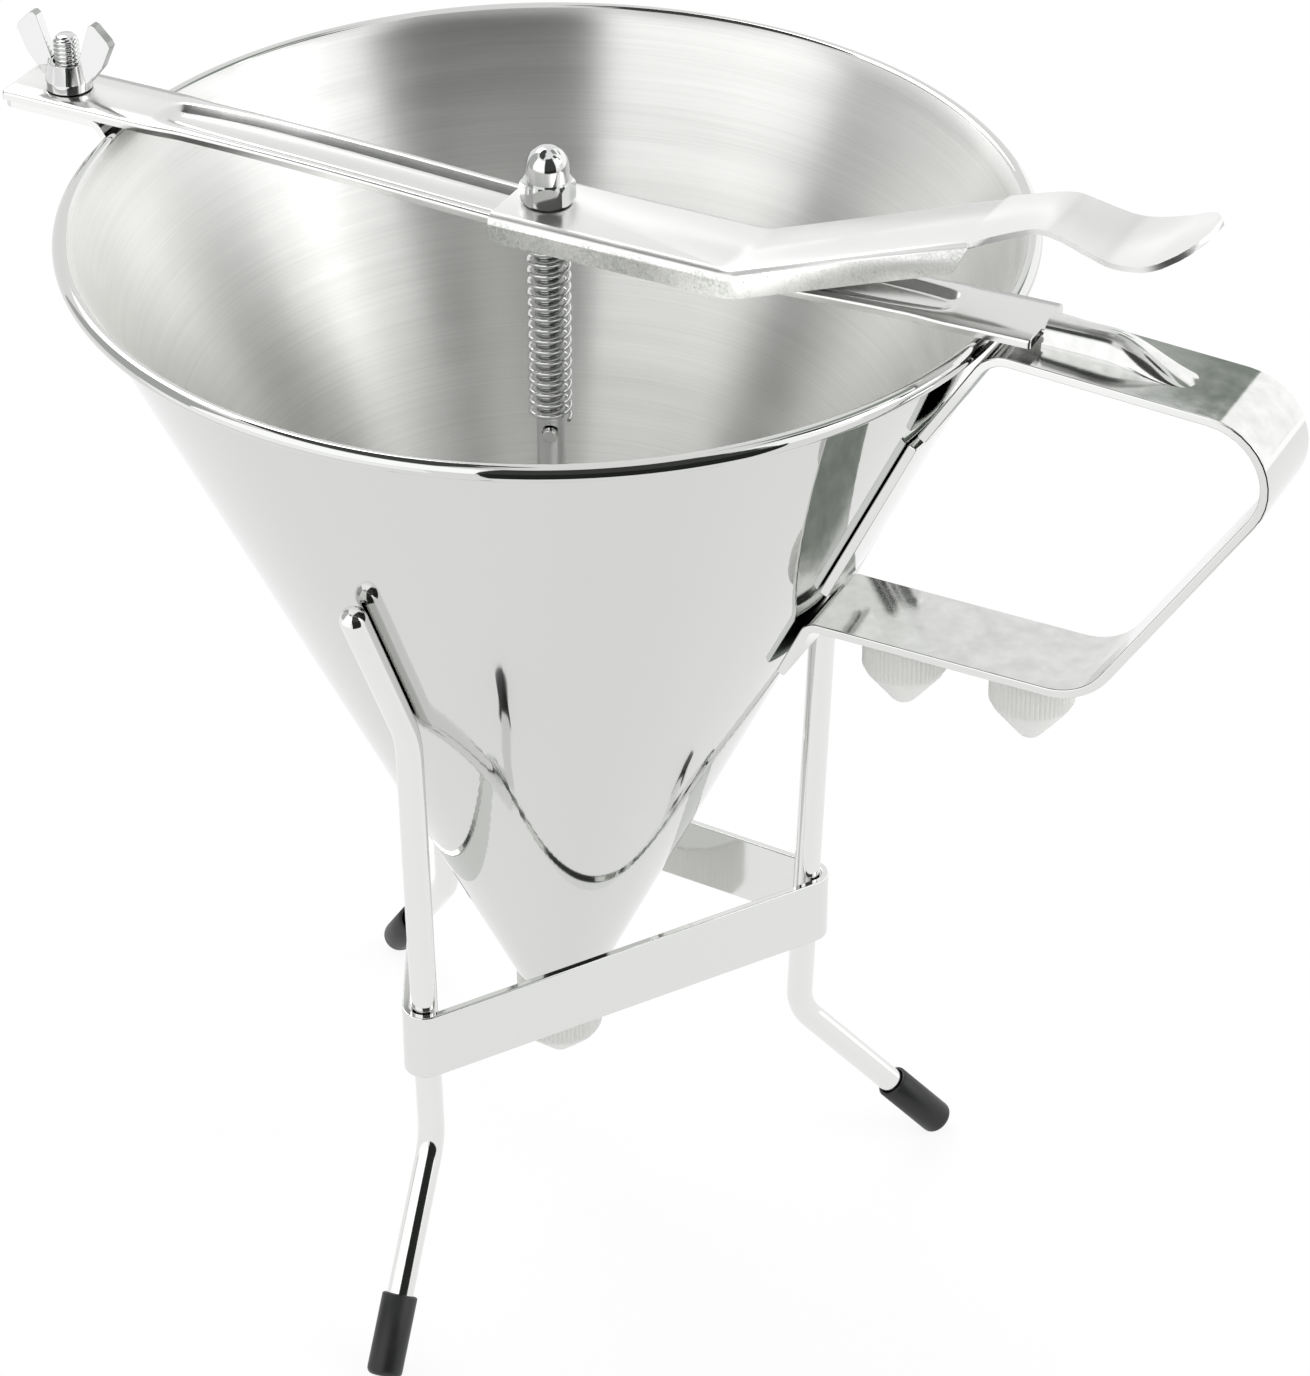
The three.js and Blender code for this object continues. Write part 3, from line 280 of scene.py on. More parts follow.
def brushed_round_stainless():
    """Sheet brushed with an abrasive pad while it turned: level grooves, and a sheen smeared up the slope.

    Real grooves are too fine to show, so these are drawn 0.35 mm apart, with cloudy bands 4 mm high.
    """
    material, tree = new_material("stainless_brushed_round")
    groove_apart = 0.35 * MM
    grooves_across = 18  # changes in a metre, along the groove
    band_apart = 4 * MM
    bands_across = 6
    place = add_node(tree, "ShaderNodeTexCoord")
    level_lines = add_node(tree, "ShaderNodeMapping", {}, Vector=place.outputs["Object"],
                           Scale=(grooves_across, grooves_across, 1 / groove_apart))
    grooves = add_node(tree, "ShaderNodeTexNoise", {}, Vector=level_lines.outputs[0], Scale=1.0, Detail=3.0)
    bands = add_node(tree, "ShaderNodeMapping", {}, Vector=place.outputs["Object"],
                     Scale=(bands_across, bands_across, 1 / band_apart))
    cloud = add_node(tree, "ShaderNodeTexNoise", {}, Vector=bands.outputs[0], Scale=1.0, Detail=2.0)
    matt = add_node(tree, "ShaderNodeMapRange", {}, Value=cloud.outputs["Fac"], To_Min=0.26, To_Max=0.4)
    shade = add_node(tree, "ShaderNodeMix", {"data_type": "RGBA"}, _0=grooves.outputs["Fac"],
                     _6=srgb("#dededc"), _7=srgb("#f2f2f0"))
    bump = add_node(tree, "ShaderNodeBump", {}, Height=grooves.outputs["Fac"], Strength=0.25,
                    Distance=0.02 * MM)
    around = add_node(tree, "ShaderNodeTangent", {"direction_type": "RADIAL", "axis": "Z"})
    shader = add_node(tree, "ShaderNodeBsdfPrincipled", {}, Base_Color=shade.outputs[2], Metallic=1.0,
                      Roughness=matt.outputs[0], Anisotropic=0.85, Anisotropic_Rotation=0.25,
                      Normal=bump.outputs[0], Tangent=around.outputs[0])
    add_node(tree, "ShaderNodeOutputMaterial", {}, Surface=shader.outputs[0])
    return material


# Buffed to a mirror: it shows the studio sharply, with slow ripples.
mirror_steel = polished_stainless("stainless_mirror_polished", "#d4d5d3", 0.045, 0.25)
inner_wall = CONE_WALL / math.cos(CONE_ANGLE)
roll = [math.radians(ROLL_START + ROLL_TURN * k / ROLL_STEPS) for k in range(ROLL_STEPS + 1)]
cone_profile = [(cone_radius(-CONE_DEPTH), -CONE_DEPTH)]
cone_profile += [(ROLL_MIDDLE + ROLL_RADIUS * math.cos(a), ROLL_RADIUS * math.sin(a)) for a in roll]
cone_profile += [(cone_radius(-ROLL_RADIUS) - inner_wall, -ROLL_RADIUS),
                 (cone_radius(-CONE_DEPTH) - inner_wall, -CONE_DEPTH), cone_profile[0]]
bm = turned(cone_profile, CONE_STEPS)
for face in bm.faces:
    middle = face.calc_center_median()
    inside = math.hypot(middle.x, middle.y) < cone_radius(middle.z) - inner_wall / 2
    face.material_index = 1 if inside and middle.z < 0 else 0
finished("cone_shell", bm, ["funnel_cone"], "funnel",
         [mirror_steel, brushed_round_stainless()])

# Outlet: a turned collar welded inside the cone's end, with a threaded neck for the nozzle.
# It is hidden in the nozzle, apart from the collar's slope, seen down the cone.
FLAT_WITHIN = 0.6  # degrees, up to which two faces of a CAD node are one flat face


def cad_copy(node):
    """A copy of a CAD node's mesh, merged and moved back to the cone's axis."""
    bm = bmesh.new()
    bm.from_mesh(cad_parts[node].data)
    bmesh.ops.remove_doubles(bm, verts=bm.verts, dist=MERGE_WITHIN)
    bmesh.ops.dissolve_limit(bm, angle_limit=math.radians(FLAT_WITHIN), verts=bm.verts, edges=bm.edges)
    bmesh.ops.translate(bm, vec=(-AXIS_X, 0, 0), verts=bm.verts)
    return bm


def eased(piece, radius, angle=30):
    """Sharp edges rounded a little, as tumbling or buffing leaves them."""
    bevel = piece.modifiers.new("eased_edges", "BEVEL")
    bevel.width = radius
    bevel.segments = 2
    bevel.limit_method = "ANGLE"
    bevel.angle_limit = math.radians(angle)
    bevel.harden_normals = True
    return piece


# Turned on a lathe: bright, with softer reflections than the sheet's.
turned_steel = polished_stainless("stainless_turned", "#d8d9d8", 0.12, 0.1)
finished("outlet_collar", cad_copy("outlet_ferrule"), ["outlet_ferrule"], "funnel",
         [turned_steel], place=(0, 0, 0))

# Nozzles: moulded polypropylene cap nuts, pale and slightly see-through, with fine upright ribs for grip.
# The working one is screwed on the outlet, and two smaller ones hang on posts under the handle.
# Their sizes are in mm: the top's place is given by its distance from the axis and height from the rim.
NOZZLES = {
    "nozzle": dict(at=(0, -189.3), radius=9.6, length=16.2, taper=6.5, tip=3.0, orifice=1.7, bore=6.8,
                   depth=14, ribs=58),
    "spare_nozzle_1": dict(at=(82, -74), radius=8.9, length=9.4, taper=7.9, tip=2.6, orifice=1.2, bore=6.8,
                           depth=9.3, ribs=54),
    "spare_nozzle_2": dict(at=(110.3, -74), radius=8.9, length=9.4, taper=7.9, tip=2.6, orifice=2.1, bore=6.8,
                           depth=9.3, ribs=54),
}
RIB_DEPTH = 0.5 * MM
STEPS_PER_RIB = 6
TIP_SHARES = [(0.6, 0), (0.9, 0.1), (1.1, 0.3)]  # radius and height of its rounding, as shares of the tip
TIP_WALL_SHARE = 0.4
SHOULDER_SHARE = 0.97  # radius where the taper begins, as a share of the grip's
SHOULDER_DROP_SHARE = 0.04  # and its easing, as shares of the taper's length
SHOULDER_RISE_SHARE = 0.06


def pale_polypropylene():
    """Natural polypropylene: milky, so light enters it a little, with a soft moulded gloss."""
    material, tree = new_material("polypropylene_natural")
    grain_width = 2.5 * MM
    place = add_node(tree, "ShaderNodeTexCoord")
    grain = add_node(tree, "ShaderNodeTexNoise", {}, Vector=place.outputs["Object"], Scale=1 / grain_width,
                     Detail=2.0)
    matt = add_node(tree, "ShaderNodeMapRange", {}, Value=grain.outputs["Fac"], To_Min=0.34, To_Max=0.5)
    bump = add_node(tree, "ShaderNodeBump", {}, Height=grain.outputs["Fac"], Strength=0.1, Distance=0.02 * MM)
    shader = add_node(tree, "ShaderNodeBsdfPrincipled", {}, Base_Color=srgb("#efefec"),
                      Roughness=matt.outputs[0], Subsurface_Weight=0.2, Subsurface_Scale=1.5 * MM, IOR=1.49,
                      Normal=bump.outputs[0])
    shader.inputs["Subsurface Radius"].default_value = (1.0, 1.0, 0.95)
    add_node(tree, "ShaderNodeOutputMaterial", {}, Surface=shader.outputs[0])
    return material


plastic = pale_polypropylene()
for node, size in NOZZLES.items():
    x, top = (value * MM for value in size["at"])
    radius, length, taper = (size[key] * MM for key in ("radius", "length", "taper"))
    tip, orifice, bore, depth = (size[key] * MM for key in ("tip", "orifice", "bore", "depth"))
    core = radius - RIB_DEPTH
    bottom = -length - taper
    profile = [(orifice, bottom)] + [(tip * across, bottom + tip * up) for across, up in TIP_SHARES]
    profile += [(core * SHOULDER_SHARE, -length - taper * SHOULDER_DROP_SHARE),
                (core, -length + taper * SHOULDER_RISE_SHARE), (core, -length + RIB_DEPTH),
                (radius, -length + 2 * RIB_DEPTH), (radius, -RIB_DEPTH), (core, 0), (bore, 0), (bore, -depth),
                (orifice, bottom + tip * TIP_WALL_SHARE), (orifice, bottom)]
    bm = turned(profile, size["ribs"] * STEPS_PER_RIB)
    for vert in bm.verts:
        reach = math.hypot(vert.co.x, vert.co.y)
        if reach > radius - RIB_DEPTH / 4:
            wave = 0.5 - 0.5 * math.cos(size["ribs"] * math.atan2(vert.co.y, vert.co.x))
            scale = (radius - RIB_DEPTH * wave) / reach
            vert.co.x *= scale
            vert.co.y *= scale
    finished(f"{node}_cap", bm, [node], node, [plastic], sharp=80,
             place=(x, 0, RIM_HEIGHT + top))

# Posts: short stainless studs welded under the handle's lower arm, which hold the spare nozzles.
# They are hidden in the nozzles, so their threads aren't drawn.
for node in ("nozzle_post_1", "nozzle_post_2"):
    finished(f"{node}_stud", cad_copy(node), [node], "funnel", [turned_steel],
             place=(0, 0, 0))

# Handle: one strip of 2 mm stainless bent into a loop, its two tabs welded to the cone.
# Its outer side is buffed, and the sides that face up less evenly. The underside of the upper arm and the
# side towards the cone keep the dull, mottled skin of rolled sheet, darkened there with painted shade,
# which the cone reflects.
GAP = 0.3 * MM  # between pieces that are welded or pushed together, as in the CAD model
STRIP_WIDTH = 22 * MM
STRIP_SHEET = 2 * MM
STRIP_EASING = 0.35 * MM
ARM_HEIGHT = 0.2 * MM
ARM_SLOPE = 0.0486
ARM_TILT = -math.atan(ARM_SLOPE)
ARM_REACH = 70.94 * MM  # from the rim's roll to the grip's upper bend
GRIP_LEAN = 0.6343  # how far the grip leans in, as a share of its height
LOWER_ARM = -72.7 * MM
LOWER_TAB_DROP = 13.3 * MM
UPPER_TAB_DEPTH = 21.5 * MM
LOOP_BENDS = [7 * MM, 13 * MM, 15 * MM, 3 * MM]
FACING = 0.5  # how squarely a face looks some way, to count as one that does
FACING_CONE = 0.6
# Painted shade: the rolled skin under the upper arm and on the cone side is drawn darker than it is.
ROLLED_SHADE_ABOVE = -30 * MM  # the rolled skin's underside lies above this, and its cone side within the next
ROLLED_SHADE_WITHIN = 105 * MM


def rolled_stainless(name, dark, light, low, high):
    """The skin of rolled sheet: grey-green patches a few millimetres wide, from dark to light."""
    material, tree = new_material(name)
    patch_width = 4 * MM
    place = add_node(tree, "ShaderNodeTexCoord")
    patches = add_node(tree, "ShaderNodeTexNoise", {}, Vector=place.outputs["Object"], Scale=1 / patch_width,
                       Detail=6.0)
    shade = add_node(tree, "ShaderNodeMix", {"data_type": "RGBA"}, _0=patches.outputs["Fac"], _6=srgb(dark),
                     _7=srgb(light))
    matt = add_node(tree, "ShaderNodeMapRange", {}, Value=patches.outputs["Fac"], To_Min=low, To_Max=high)
    bump = add_node(tree, "ShaderNodeBump", {}, Height=patches.outputs["Fac"], Strength=0.3,
                    Distance=0.06 * MM)
    shader = add_node(tree, "ShaderNodeBsdfPrincipled", {}, Base_Color=shade.outputs[2], Metallic=1.0,
                      Roughness=matt.outputs[0], Normal=bump.outputs[0])
    add_node(tree, "ShaderNodeOutputMaterial", {}, Surface=shader.outputs[0])
    return material


def crossing(point, angle, other, other_angle):
    """Where two lines cross in the upright plane through the axis. Points are reach and height."""
    way = Vector((math.cos(angle), math.sin(angle)))
    off = Vector((math.cos(other_angle), math.sin(other_angle)))
    gap = other - point
    return point + way * ((gap.x * off.y - gap.y * off.x) / (way.x * off.y - way.y * off.x))


def tab_corners(depth, sheet_thickness, arm_height, arm_angle):
    """Corners of a tab from its foot on the cone, past the rolled rim, to an arm."""
    foot = Vector((cone_radius(-depth) + GAP / math.cos(CONE_ANGLE), -depth))
    to_roll = Vector((ROLL_MIDDLE, 0)) - foot
    angle = math.atan2(to_roll.y, to_roll.x) - math.asin((ROLL_RADIUS + GAP) / to_roll.length)
    middle = foot + Vector((math.sin(angle), -math.cos(angle))) * (sheet_thickness / 2)
    return [middle, crossing(middle, angle, Vector((ROLL_MIDDLE, arm_height)), arm_angle)]


def bent_strip(corners, radii, sheet_thickness, width, arc_steps=12):
    """A strip bent at its corners, standing in the upright plane through the axis."""
    way = [corners[0]]
    for before, corner, after, radius in zip(corners, corners[1:], corners[2:], radii):
        arriving = (corner - before).normalized()
        leaving = (after - corner).normalized()
        turn = math.atan2(arriving.x * leaving.y - arriving.y * leaving.x, arriving.dot(leaving))
        side = Vector((-arriving.y, arriving.x)) * math.copysign(radius, turn)
        centre = corner - arriving * radius * math.tan(abs(turn) / 2) + side
        for k in range(arc_steps + 1):
            way.append(centre - Matrix.Rotation(turn * k / arc_steps, 2) @ side)
    way.append(corners[-1])
    runs = [(b - a).normalized() for a, b in zip(way, way[1:])]
    ways = [runs[0]] + [(a + b).normalized() for a, b in zip(runs, runs[1:])] + [runs[-1]]
    across = [Vector((-run.y, run.x)) * (sheet_thickness / 2) for run in ways]
    outline = [p + n for p, n in zip(way, across)] + [p - n for p, n in reversed(list(zip(way, across)))]
    bm = bmesh.new()
    side_face = bm.faces.new([bm.verts.new((p.x, -width / 2, p.y)) for p in outline])
    new = bmesh.ops.extrude_face_region(bm, geom=[side_face])["geom"]
    bmesh.ops.translate(bm, vec=(0, width, 0), verts=[v for v in new if isinstance(v, bmesh.types.BMVert)])
    bmesh.ops.recalc_face_normals(bm, faces=bm.faces)
    return bm


def arm_height(x):
    """Middle of the upper arm at a distance from the axis."""
    return ARM_HEIGHT + math.tan(ARM_TILT) * (x - ROLL_MIDDLE)


# The buffed strip is bright, with a stronger ripple than the cone's. The rolled skin is dull and dark,
# partly from painted shade, and the mottled one is almost as bright as the buffed strip.
strip_steel = polished_stainless("stainless_polished_strip", "#e0e1df", 0.08, 0.5)
rolled_skin_painted_shade = rolled_stainless("stainless_rolled_skin_and_painted_shade", "#5d655f", "#98a19a", 0.22, 0.45)
mottled_steel = rolled_stainless("stainless_mottled_skin", "#c2c4c1", "#ededec", 0.06, 0.16)
grip_angle = math.atan2(-1, -GRIP_LEAN)
cone_slope = 1.5 * math.pi - CONE_ANGLE
grip_top = Vector((ROLL_MIDDLE + ARM_REACH, arm_height(ROLL_MIDDLE + ARM_REACH)))
grip_bottom = crossing(grip_top, grip_angle, Vector((0, LOWER_ARM)), 0)
strip_offset = (GAP + STRIP_SHEET / 2) / math.cos(CONE_ANGLE)
foot_height = LOWER_ARM - LOWER_TAB_DROP
lower_foot = Vector((cone_radius(foot_height) + strip_offset, foot_height))
lower_turn = crossing(lower_foot, cone_slope, Vector((0, LOWER_ARM)), 0)
loop = tab_corners(UPPER_TAB_DEPTH, STRIP_SHEET, ARM_HEIGHT, ARM_TILT)
loop += [grip_top, grip_bottom, lower_turn, lower_foot]
bm = bent_strip(loop, LOOP_BENDS, STRIP_SHEET, STRIP_WIDTH)
# Faces under the upper arm and towards the cone take the rolled skin, darkened with painted shade.
for face in bm.faces:
    middle = face.calc_center_median()
    under_arm = face.normal.z < -FACING and middle.z > ROLLED_SHADE_ABOVE
    to_cone = face.normal.x < -FACING_CONE and middle.x < ROLLED_SHADE_WITHIN
    face.material_index = 1 if under_arm or to_cone else 0
    if face.normal.z > FACING:
        face.material_index = 2
handle = finished("handle_loop", bm, ["handle_strip"], "funnel",
                  [strip_steel, rolled_skin_painted_shade, mottled_steel])
eased(handle, STRIP_EASING)

# Hood: a narrow arch pressed up out of the same strip, over the crossbar's tongue.
# Its sides are slit for the first two thirds, and then it sinks into the arm.
HOOD_STAND_OFF = 11.74 * MM
HOOD_START = ROLL_MIDDLE + HOOD_STAND_OFF
HOOD_LENGTH = 32.5 * MM
HOOD_LEVEL = 12 * MM
HOOD_HALF_WIDTH = 4.8 * MM
HOOD_TOP = 6.2 * MM
HOOD_SHEET = 1.2 * MM
HOOD_SINK = 0.2 * MM  # below the arm's upper side, so that no seam shows
HOOD_TAPER = 0.86  # how much it narrows to its tail, and how late
HOOD_TAPER_POWER = 2.4
EDGE_EASING = 0.3 * MM
HOOD_ROWS = 36
HOOD_ACROSS = 28
HOOD_ROUNDNESS = 2.0
bm = bmesh.new()
rows = []
for i in range(HOOD_ROWS + 1):
    x = HOOD_START + HOOD_LENGTH * i / HOOD_ROWS
    base = arm_height(x) + STRIP_SHEET / 2 - HOOD_SINK
    fall = max(0, (x - HOOD_START - HOOD_LEVEL) / (HOOD_LENGTH - HOOD_LEVEL))
    rise = (HOOD_TOP - base) * (1 + math.cos(math.pi * fall)) / 2
    half = HOOD_HALF_WIDTH * math.sqrt(1 - HOOD_TAPER * fall ** HOOD_TAPER_POWER)
    row = []
    for k in range(HOOD_ACROSS + 1):
        t = math.sin(math.pi / 2 * (2 * k / HOOD_ACROSS - 1))
        up = (1 - abs(t) ** HOOD_ROUNDNESS) ** (1 / HOOD_ROUNDNESS)
        row.append(bm.verts.new((x, half * t, base + rise * up)))
    rows.append(row)
for row, other in zip(rows, rows[1:]):
    for k in range(HOOD_ACROSS):
        bm.faces.new((row[k], other[k], other[k + 1], row[k + 1]))
bmesh.ops.recalc_face_normals(bm, faces=bm.faces)
if sum(face.normal.z for face in bm.faces) < 0:
    bmesh.ops.reverse_faces(bm, faces=bm.faces)
bmesh.ops.solidify(bm, geom=bm.faces[:], thickness=HOOD_SHEET)
hood = finished("handle_hood", bm, ["handle_strip"], "funnel", [mottled_steel], sharp=50)
eased(hood, EDGE_EASING, angle=50)

# Backing: a strip of the same stainless sheet, welded on the cone between the handle's tabs.
# It is bent to the cone's curve across its width, so it is cut lengthwise into narrow flats first.
BACKING_ENDS = [-24 * MM, -64 * MM]
BACKING_FLATS = 8
middle = [Vector((cone_radius(z) + strip_offset, z)) for z in BACKING_ENDS]
bm = bent_strip(middle, [], STRIP_SHEET, STRIP_WIDTH)
for k in range(1, BACKING_FLATS):
    bmesh.ops.bisect_plane(bm, geom=bm.verts[:] + bm.edges[:] + bm.faces[:], plane_no=(0, 1, 0),
                           plane_co=(0, STRIP_WIDTH * (k / BACKING_FLATS - 0.5), 0))
for vert in bm.verts:
    vert.co.x -= vert.co.y ** 2 / (2 * vert.co.x)
backing = finished("handle_backing", bm, ["handle_backing_strip"], "funnel", [strip_steel])
eased(backing, STRIP_EASING)

# Bracket: a short bent strip of polished stainless steel, with the wing nut's stud in it.
# It is welded to the cone under the bar's free end.
bracket = finished("bracket_strip", cad_copy("bar_bracket"), ["bar_bracket"], "funnel",
                   [strip_steel], place=(0, 0, 0))
eased(bracket, EDGE_EASING)

# Stud: a length of M6 stainless screw, welded in the bracket, on which the wing nut runs.
# Its thread is one closed ridge wound round a plain core, with bright crests.
STUD_X = -114.5 * MM
STUD_RADIUS = 2.8 * MM
STUD_TOP = 16.5 * MM
THREAD_PITCH = 1.0 * MM
THREAD_DEPTH = 0.45 * MM
THREAD_SINK = 0.3 * MM  # of the ridge's foot into the core
THREAD_STEPS = 40
THREAD_WORN_SHARE = 0.1  # of the depth
THREAD_RUN_OUT = 1.2  # turns without a thread at the top
CREST_START_SHARE = 0.38  # heights on the ridge, as shares of the pitch
CREST_END_SHARE = 0.58
RIDGE_END_SHARE = 0.96
STUD_CHAMFER = 0.5 * MM
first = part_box("bracket_stud")[0][2] - RIM_HEIGHT
root = STUD_RADIUS - THREAD_DEPTH
crest = STUD_RADIUS - THREAD_DEPTH * THREAD_WORN_SHARE
turns = math.floor((STUD_TOP - first) / THREAD_PITCH - THREAD_RUN_OUT)
ridge = [(root - THREAD_SINK, 0), (root, 0), (crest, CREST_START_SHARE), (crest, CREST_END_SHARE),
         (root, RIDGE_END_SHARE), (root - THREAD_SINK, RIDGE_END_SHARE)]
bm = bmesh.new()
points = [bm.verts.new((radius, 0, first + height * THREAD_PITCH)) for radius, height in ridge]
edges = [bm.edges.new((points[k - 1], points[k])) for k in range(len(points))]
bmesh.ops.spin(bm, geom=points + edges, cent=(0, 0, 0), axis=(0, 0, 1),
               dvec=(0, 0, THREAD_PITCH / THREAD_STEPS), angle=2 * math.pi * turns,
               steps=THREAD_STEPS * turns, use_merge=False, use_duplicate=False)
bmesh.ops.holes_fill(bm, edges=[edge for edge in bm.edges if edge.is_boundary], sides=0)
core_bm = turned([(0, first), (root, first), (root, STUD_TOP - STUD_CHAMFER), (root - STUD_CHAMFER, STUD_TOP),
                  (0, STUD_TOP)], THREAD_STEPS)
core_mesh = bpy.data.meshes.new("stud_core")
core_bm.to_mesh(core_mesh)
core_bm.free()
bm.from_mesh(core_mesh)
# Cut, ground or plated fittings: bright, with small sharp highlights.
bright_steel = polished_stainless("steel_bright_turned", "#dadbda", 0.08, 0.15)
finished("bracket_stud_thread", bm, ["bracket_stud"], "funnel", [bright_steel], sharp=50,
         place=(STUD_X, 0, RIM_HEIGHT))

# Wing nut: cast and tumbled, then nickel-plated, so its faces are bright and its edges soft.
# The rims of the wings are greyer, as painted shade, and duller.
HUB_RADIUS = 6.0 * MM
WING_EASING = 0.4 * MM
# Painted shade on the wings' rims: greyer, and duller, with a wavy surface.
grey_rim_painted_shade = polished_stainless("nickel_rim_painted_shade", "#a3a5a3", 0.24, 0.6)
bm = cad_copy("wing_nut")
wing_tip = max((vert.co for vert in bm.verts), key=lambda co: math.hypot(co.x - STUD_X, co.y))
wing_side = Vector((-wing_tip.y, wing_tip.x - STUD_X, 0)).normalized()
# Painted shade: faces round the wings' rims, off the hub, take the greyer steel.
for face in bm.faces:
    middle = face.calc_center_median()
    off_hub = math.hypot(middle.x - STUD_X, middle.y) > HUB_RADIUS
    face.material_index = 1 if off_hub and abs(face.normal.dot(wing_side)) < FACING else 0
wings = finished("wing_nut_cast", bm, ["wing_nut"], "wing_nut", [bright_steel, grey_rim_painted_shade],
                 place=(0, 0, 0))
eased(wings, WING_EASING, angle=25)

# Crossbar: 1.5 mm stainless strip with a pressed groove, brushed lengthwise and lightly polished.
# Its edges are turned down beside the groove, and they catch the light as a bright line.
# The wing nut holds one end, and the tongue at the other end slips under the handle's hood.


def satin_stainless(name, colour, low, high):
    """Strip brushed lengthwise: a soft sheen, and grooves that run along the piece.

    Real grooves are too fine to show, so these are drawn 0.3 mm apart and 12 mm long.
    """
    material, tree = new_material(name)
    groove_apart = 0.3 * MM
    groove_length = 12 * MM
    cloud_width = 10 * MM
    place = add_node(tree, "ShaderNodeTexCoord")
    lines = add_node(tree, "ShaderNodeMapping", {}, Vector=place.outputs["Object"],
                     Scale=(1 / groove_length, 1 / groove_apart, 1 / groove_apart))
    grooves = add_node(tree, "ShaderNodeTexNoise", {}, Vector=lines.outputs[0], Scale=1.0, Detail=3.0)
    clouds = add_node(tree, "ShaderNodeTexNoise", {}, Vector=place.outputs["Object"], Scale=1 / cloud_width,
                      Detail=2.0)
    matt = add_node(tree, "ShaderNodeMapRange", {}, Value=clouds.outputs["Fac"], To_Min=low, To_Max=high)
    bump = add_node(tree, "ShaderNodeBump", {}, Height=grooves.outputs["Fac"], Strength=0.04,
                    Distance=0.01 * MM)
    shader = add_node(tree, "ShaderNodeBsdfPrincipled", {}, Base_Color=srgb(colour), Metallic=1.0,
                      Roughness=matt.outputs[0], Anisotropic=0.5, Normal=bump.outputs[0])
    add_node(tree, "ShaderNodeOutputMaterial", {}, Surface=shader.outputs[0])
    return material


BAR_TOP = 4.5 * MM
BAR_BOW = 2.4 * MM
BAR_BOW_MIDDLE = 20 * MM
BAR_SHEET = 1.5 * MM
BAR_LEFT = -126.2 * MM
BAR_SHOULDER = 109.2 * MM
BAR_RIGHT = 122.0 * MM
BAR_HALF = 8.4 * MM
BAR_WAIST = 7.75 * MM
BAR_WAIST_RAMP = 9 * MM
BAR_CORNER = 0.6 * MM
BAR_CORNER_STEPS = 8
BAR_LIP = 0.35 * MM
BAR_EDGE_DROP = 0.5 * MM
BAR_EDGE_FROM = 5 * MM  # from the middle: beyond it the underside follows the lip down
# The edge's rounding: how far in and down in mm, and the share of the lip that is added.
BAR_EDGE_SHARES = [(0.5, 0, 0), (0.25, 0.1, 0.3), (0.05, 0.25, 0.75), (0, 0.5, 1)]
SHOULDER_WIDTH = 0.01 * MM  # along the bar: its shoulder is all but square
TONGUE_HALF = 3.3 * MM
GROOVE_LEFT = -91 * MM
GROOVE_RIGHT = 91 * MM
GROOVE_DEPTH = 1.05 * MM
GROOVE_RAMP = 3.5 * MM
GROOVE_SPREAD = 30 * MM
GROOVE_END_HALF = 3.5  # half its width at its ends, and how much it widens from there, in mm
GROOVE_WIDENING = 2.9
GROOVE_MARGIN = 1.2 * MM
GROOVE_WALL = 2.6 * MM
GROOVE_WALL_SHARE = 0.66  # the most of its half width that the wall may take
# The wall's shape: place across in wall widths from its upper edge, and the share of the groove's depth.
GROOVE_WALL_SHARES = [(-1.45, 1), (-1.25, 0.86), (-1.05, 1), (-1, 0.93), (-0.23, 0.16), (-0.08, 0.03),
                      (0.04, 0)]


def bar_height(x):
    """Upper side of the bar: it bows down a little between its ends."""
    part = min(1, abs(x - BAR_BOW_MIDDLE) / (ROLL_MIDDLE + ROLL_RADIUS))
    return BAR_TOP - BAR_BOW * (1 + math.cos(math.pi * part)) / 2


def smooth(part):
    """0 below 0, 1 above 1, and an even curve between them."""
    part = max(0, min(1, part))
    return part * part * (3 - 2 * part)


def bar_half(x):
    """Half the bar's width: full at the ends, narrower along the groove, rounded at the corners."""
    if x > BAR_SHOULDER:
        return TONGUE_HALF
    pressed = smooth(min(x - GROOVE_LEFT, GROOVE_RIGHT - x) / BAR_WAIST_RAMP)
    to_end = min(x - BAR_LEFT, BAR_SHOULDER - x)
    corner = BAR_CORNER - math.sqrt(max(0, BAR_CORNER ** 2 - max(0, BAR_CORNER - to_end) ** 2))
    return BAR_HALF + (BAR_WAIST - BAR_HALF) * pressed - corner


def bar_section(x):
    """Across the bar's upper side: distance from the middle and how far down, in order."""
    half = bar_half(x)
    inside = min(x - GROOVE_LEFT, GROOVE_RIGHT - x)
    pressed = smooth(inside / GROOVE_RAMP)
    spread = max(0, min(1, inside / GROOVE_SPREAD))
    reach = (GROOVE_END_HALF + GROOVE_WIDENING * math.sqrt(1 - (1 - spread) ** 2)) * MM
    reach = min(reach, half - GROOVE_MARGIN)
    depth = GROOVE_DEPTH * pressed
    wall = min(GROOVE_WALL, GROOVE_WALL_SHARE * reach)
    right = [(0, depth)] + [(reach + across * wall, depth * down) for across, down in GROOVE_WALL_SHARES]
    right += [(half - inset * MM, down * MM + BAR_LIP * lip) for inset, down, lip in BAR_EDGE_SHARES]
    return [(-y, down) for y, down in reversed(right[1:])] + right


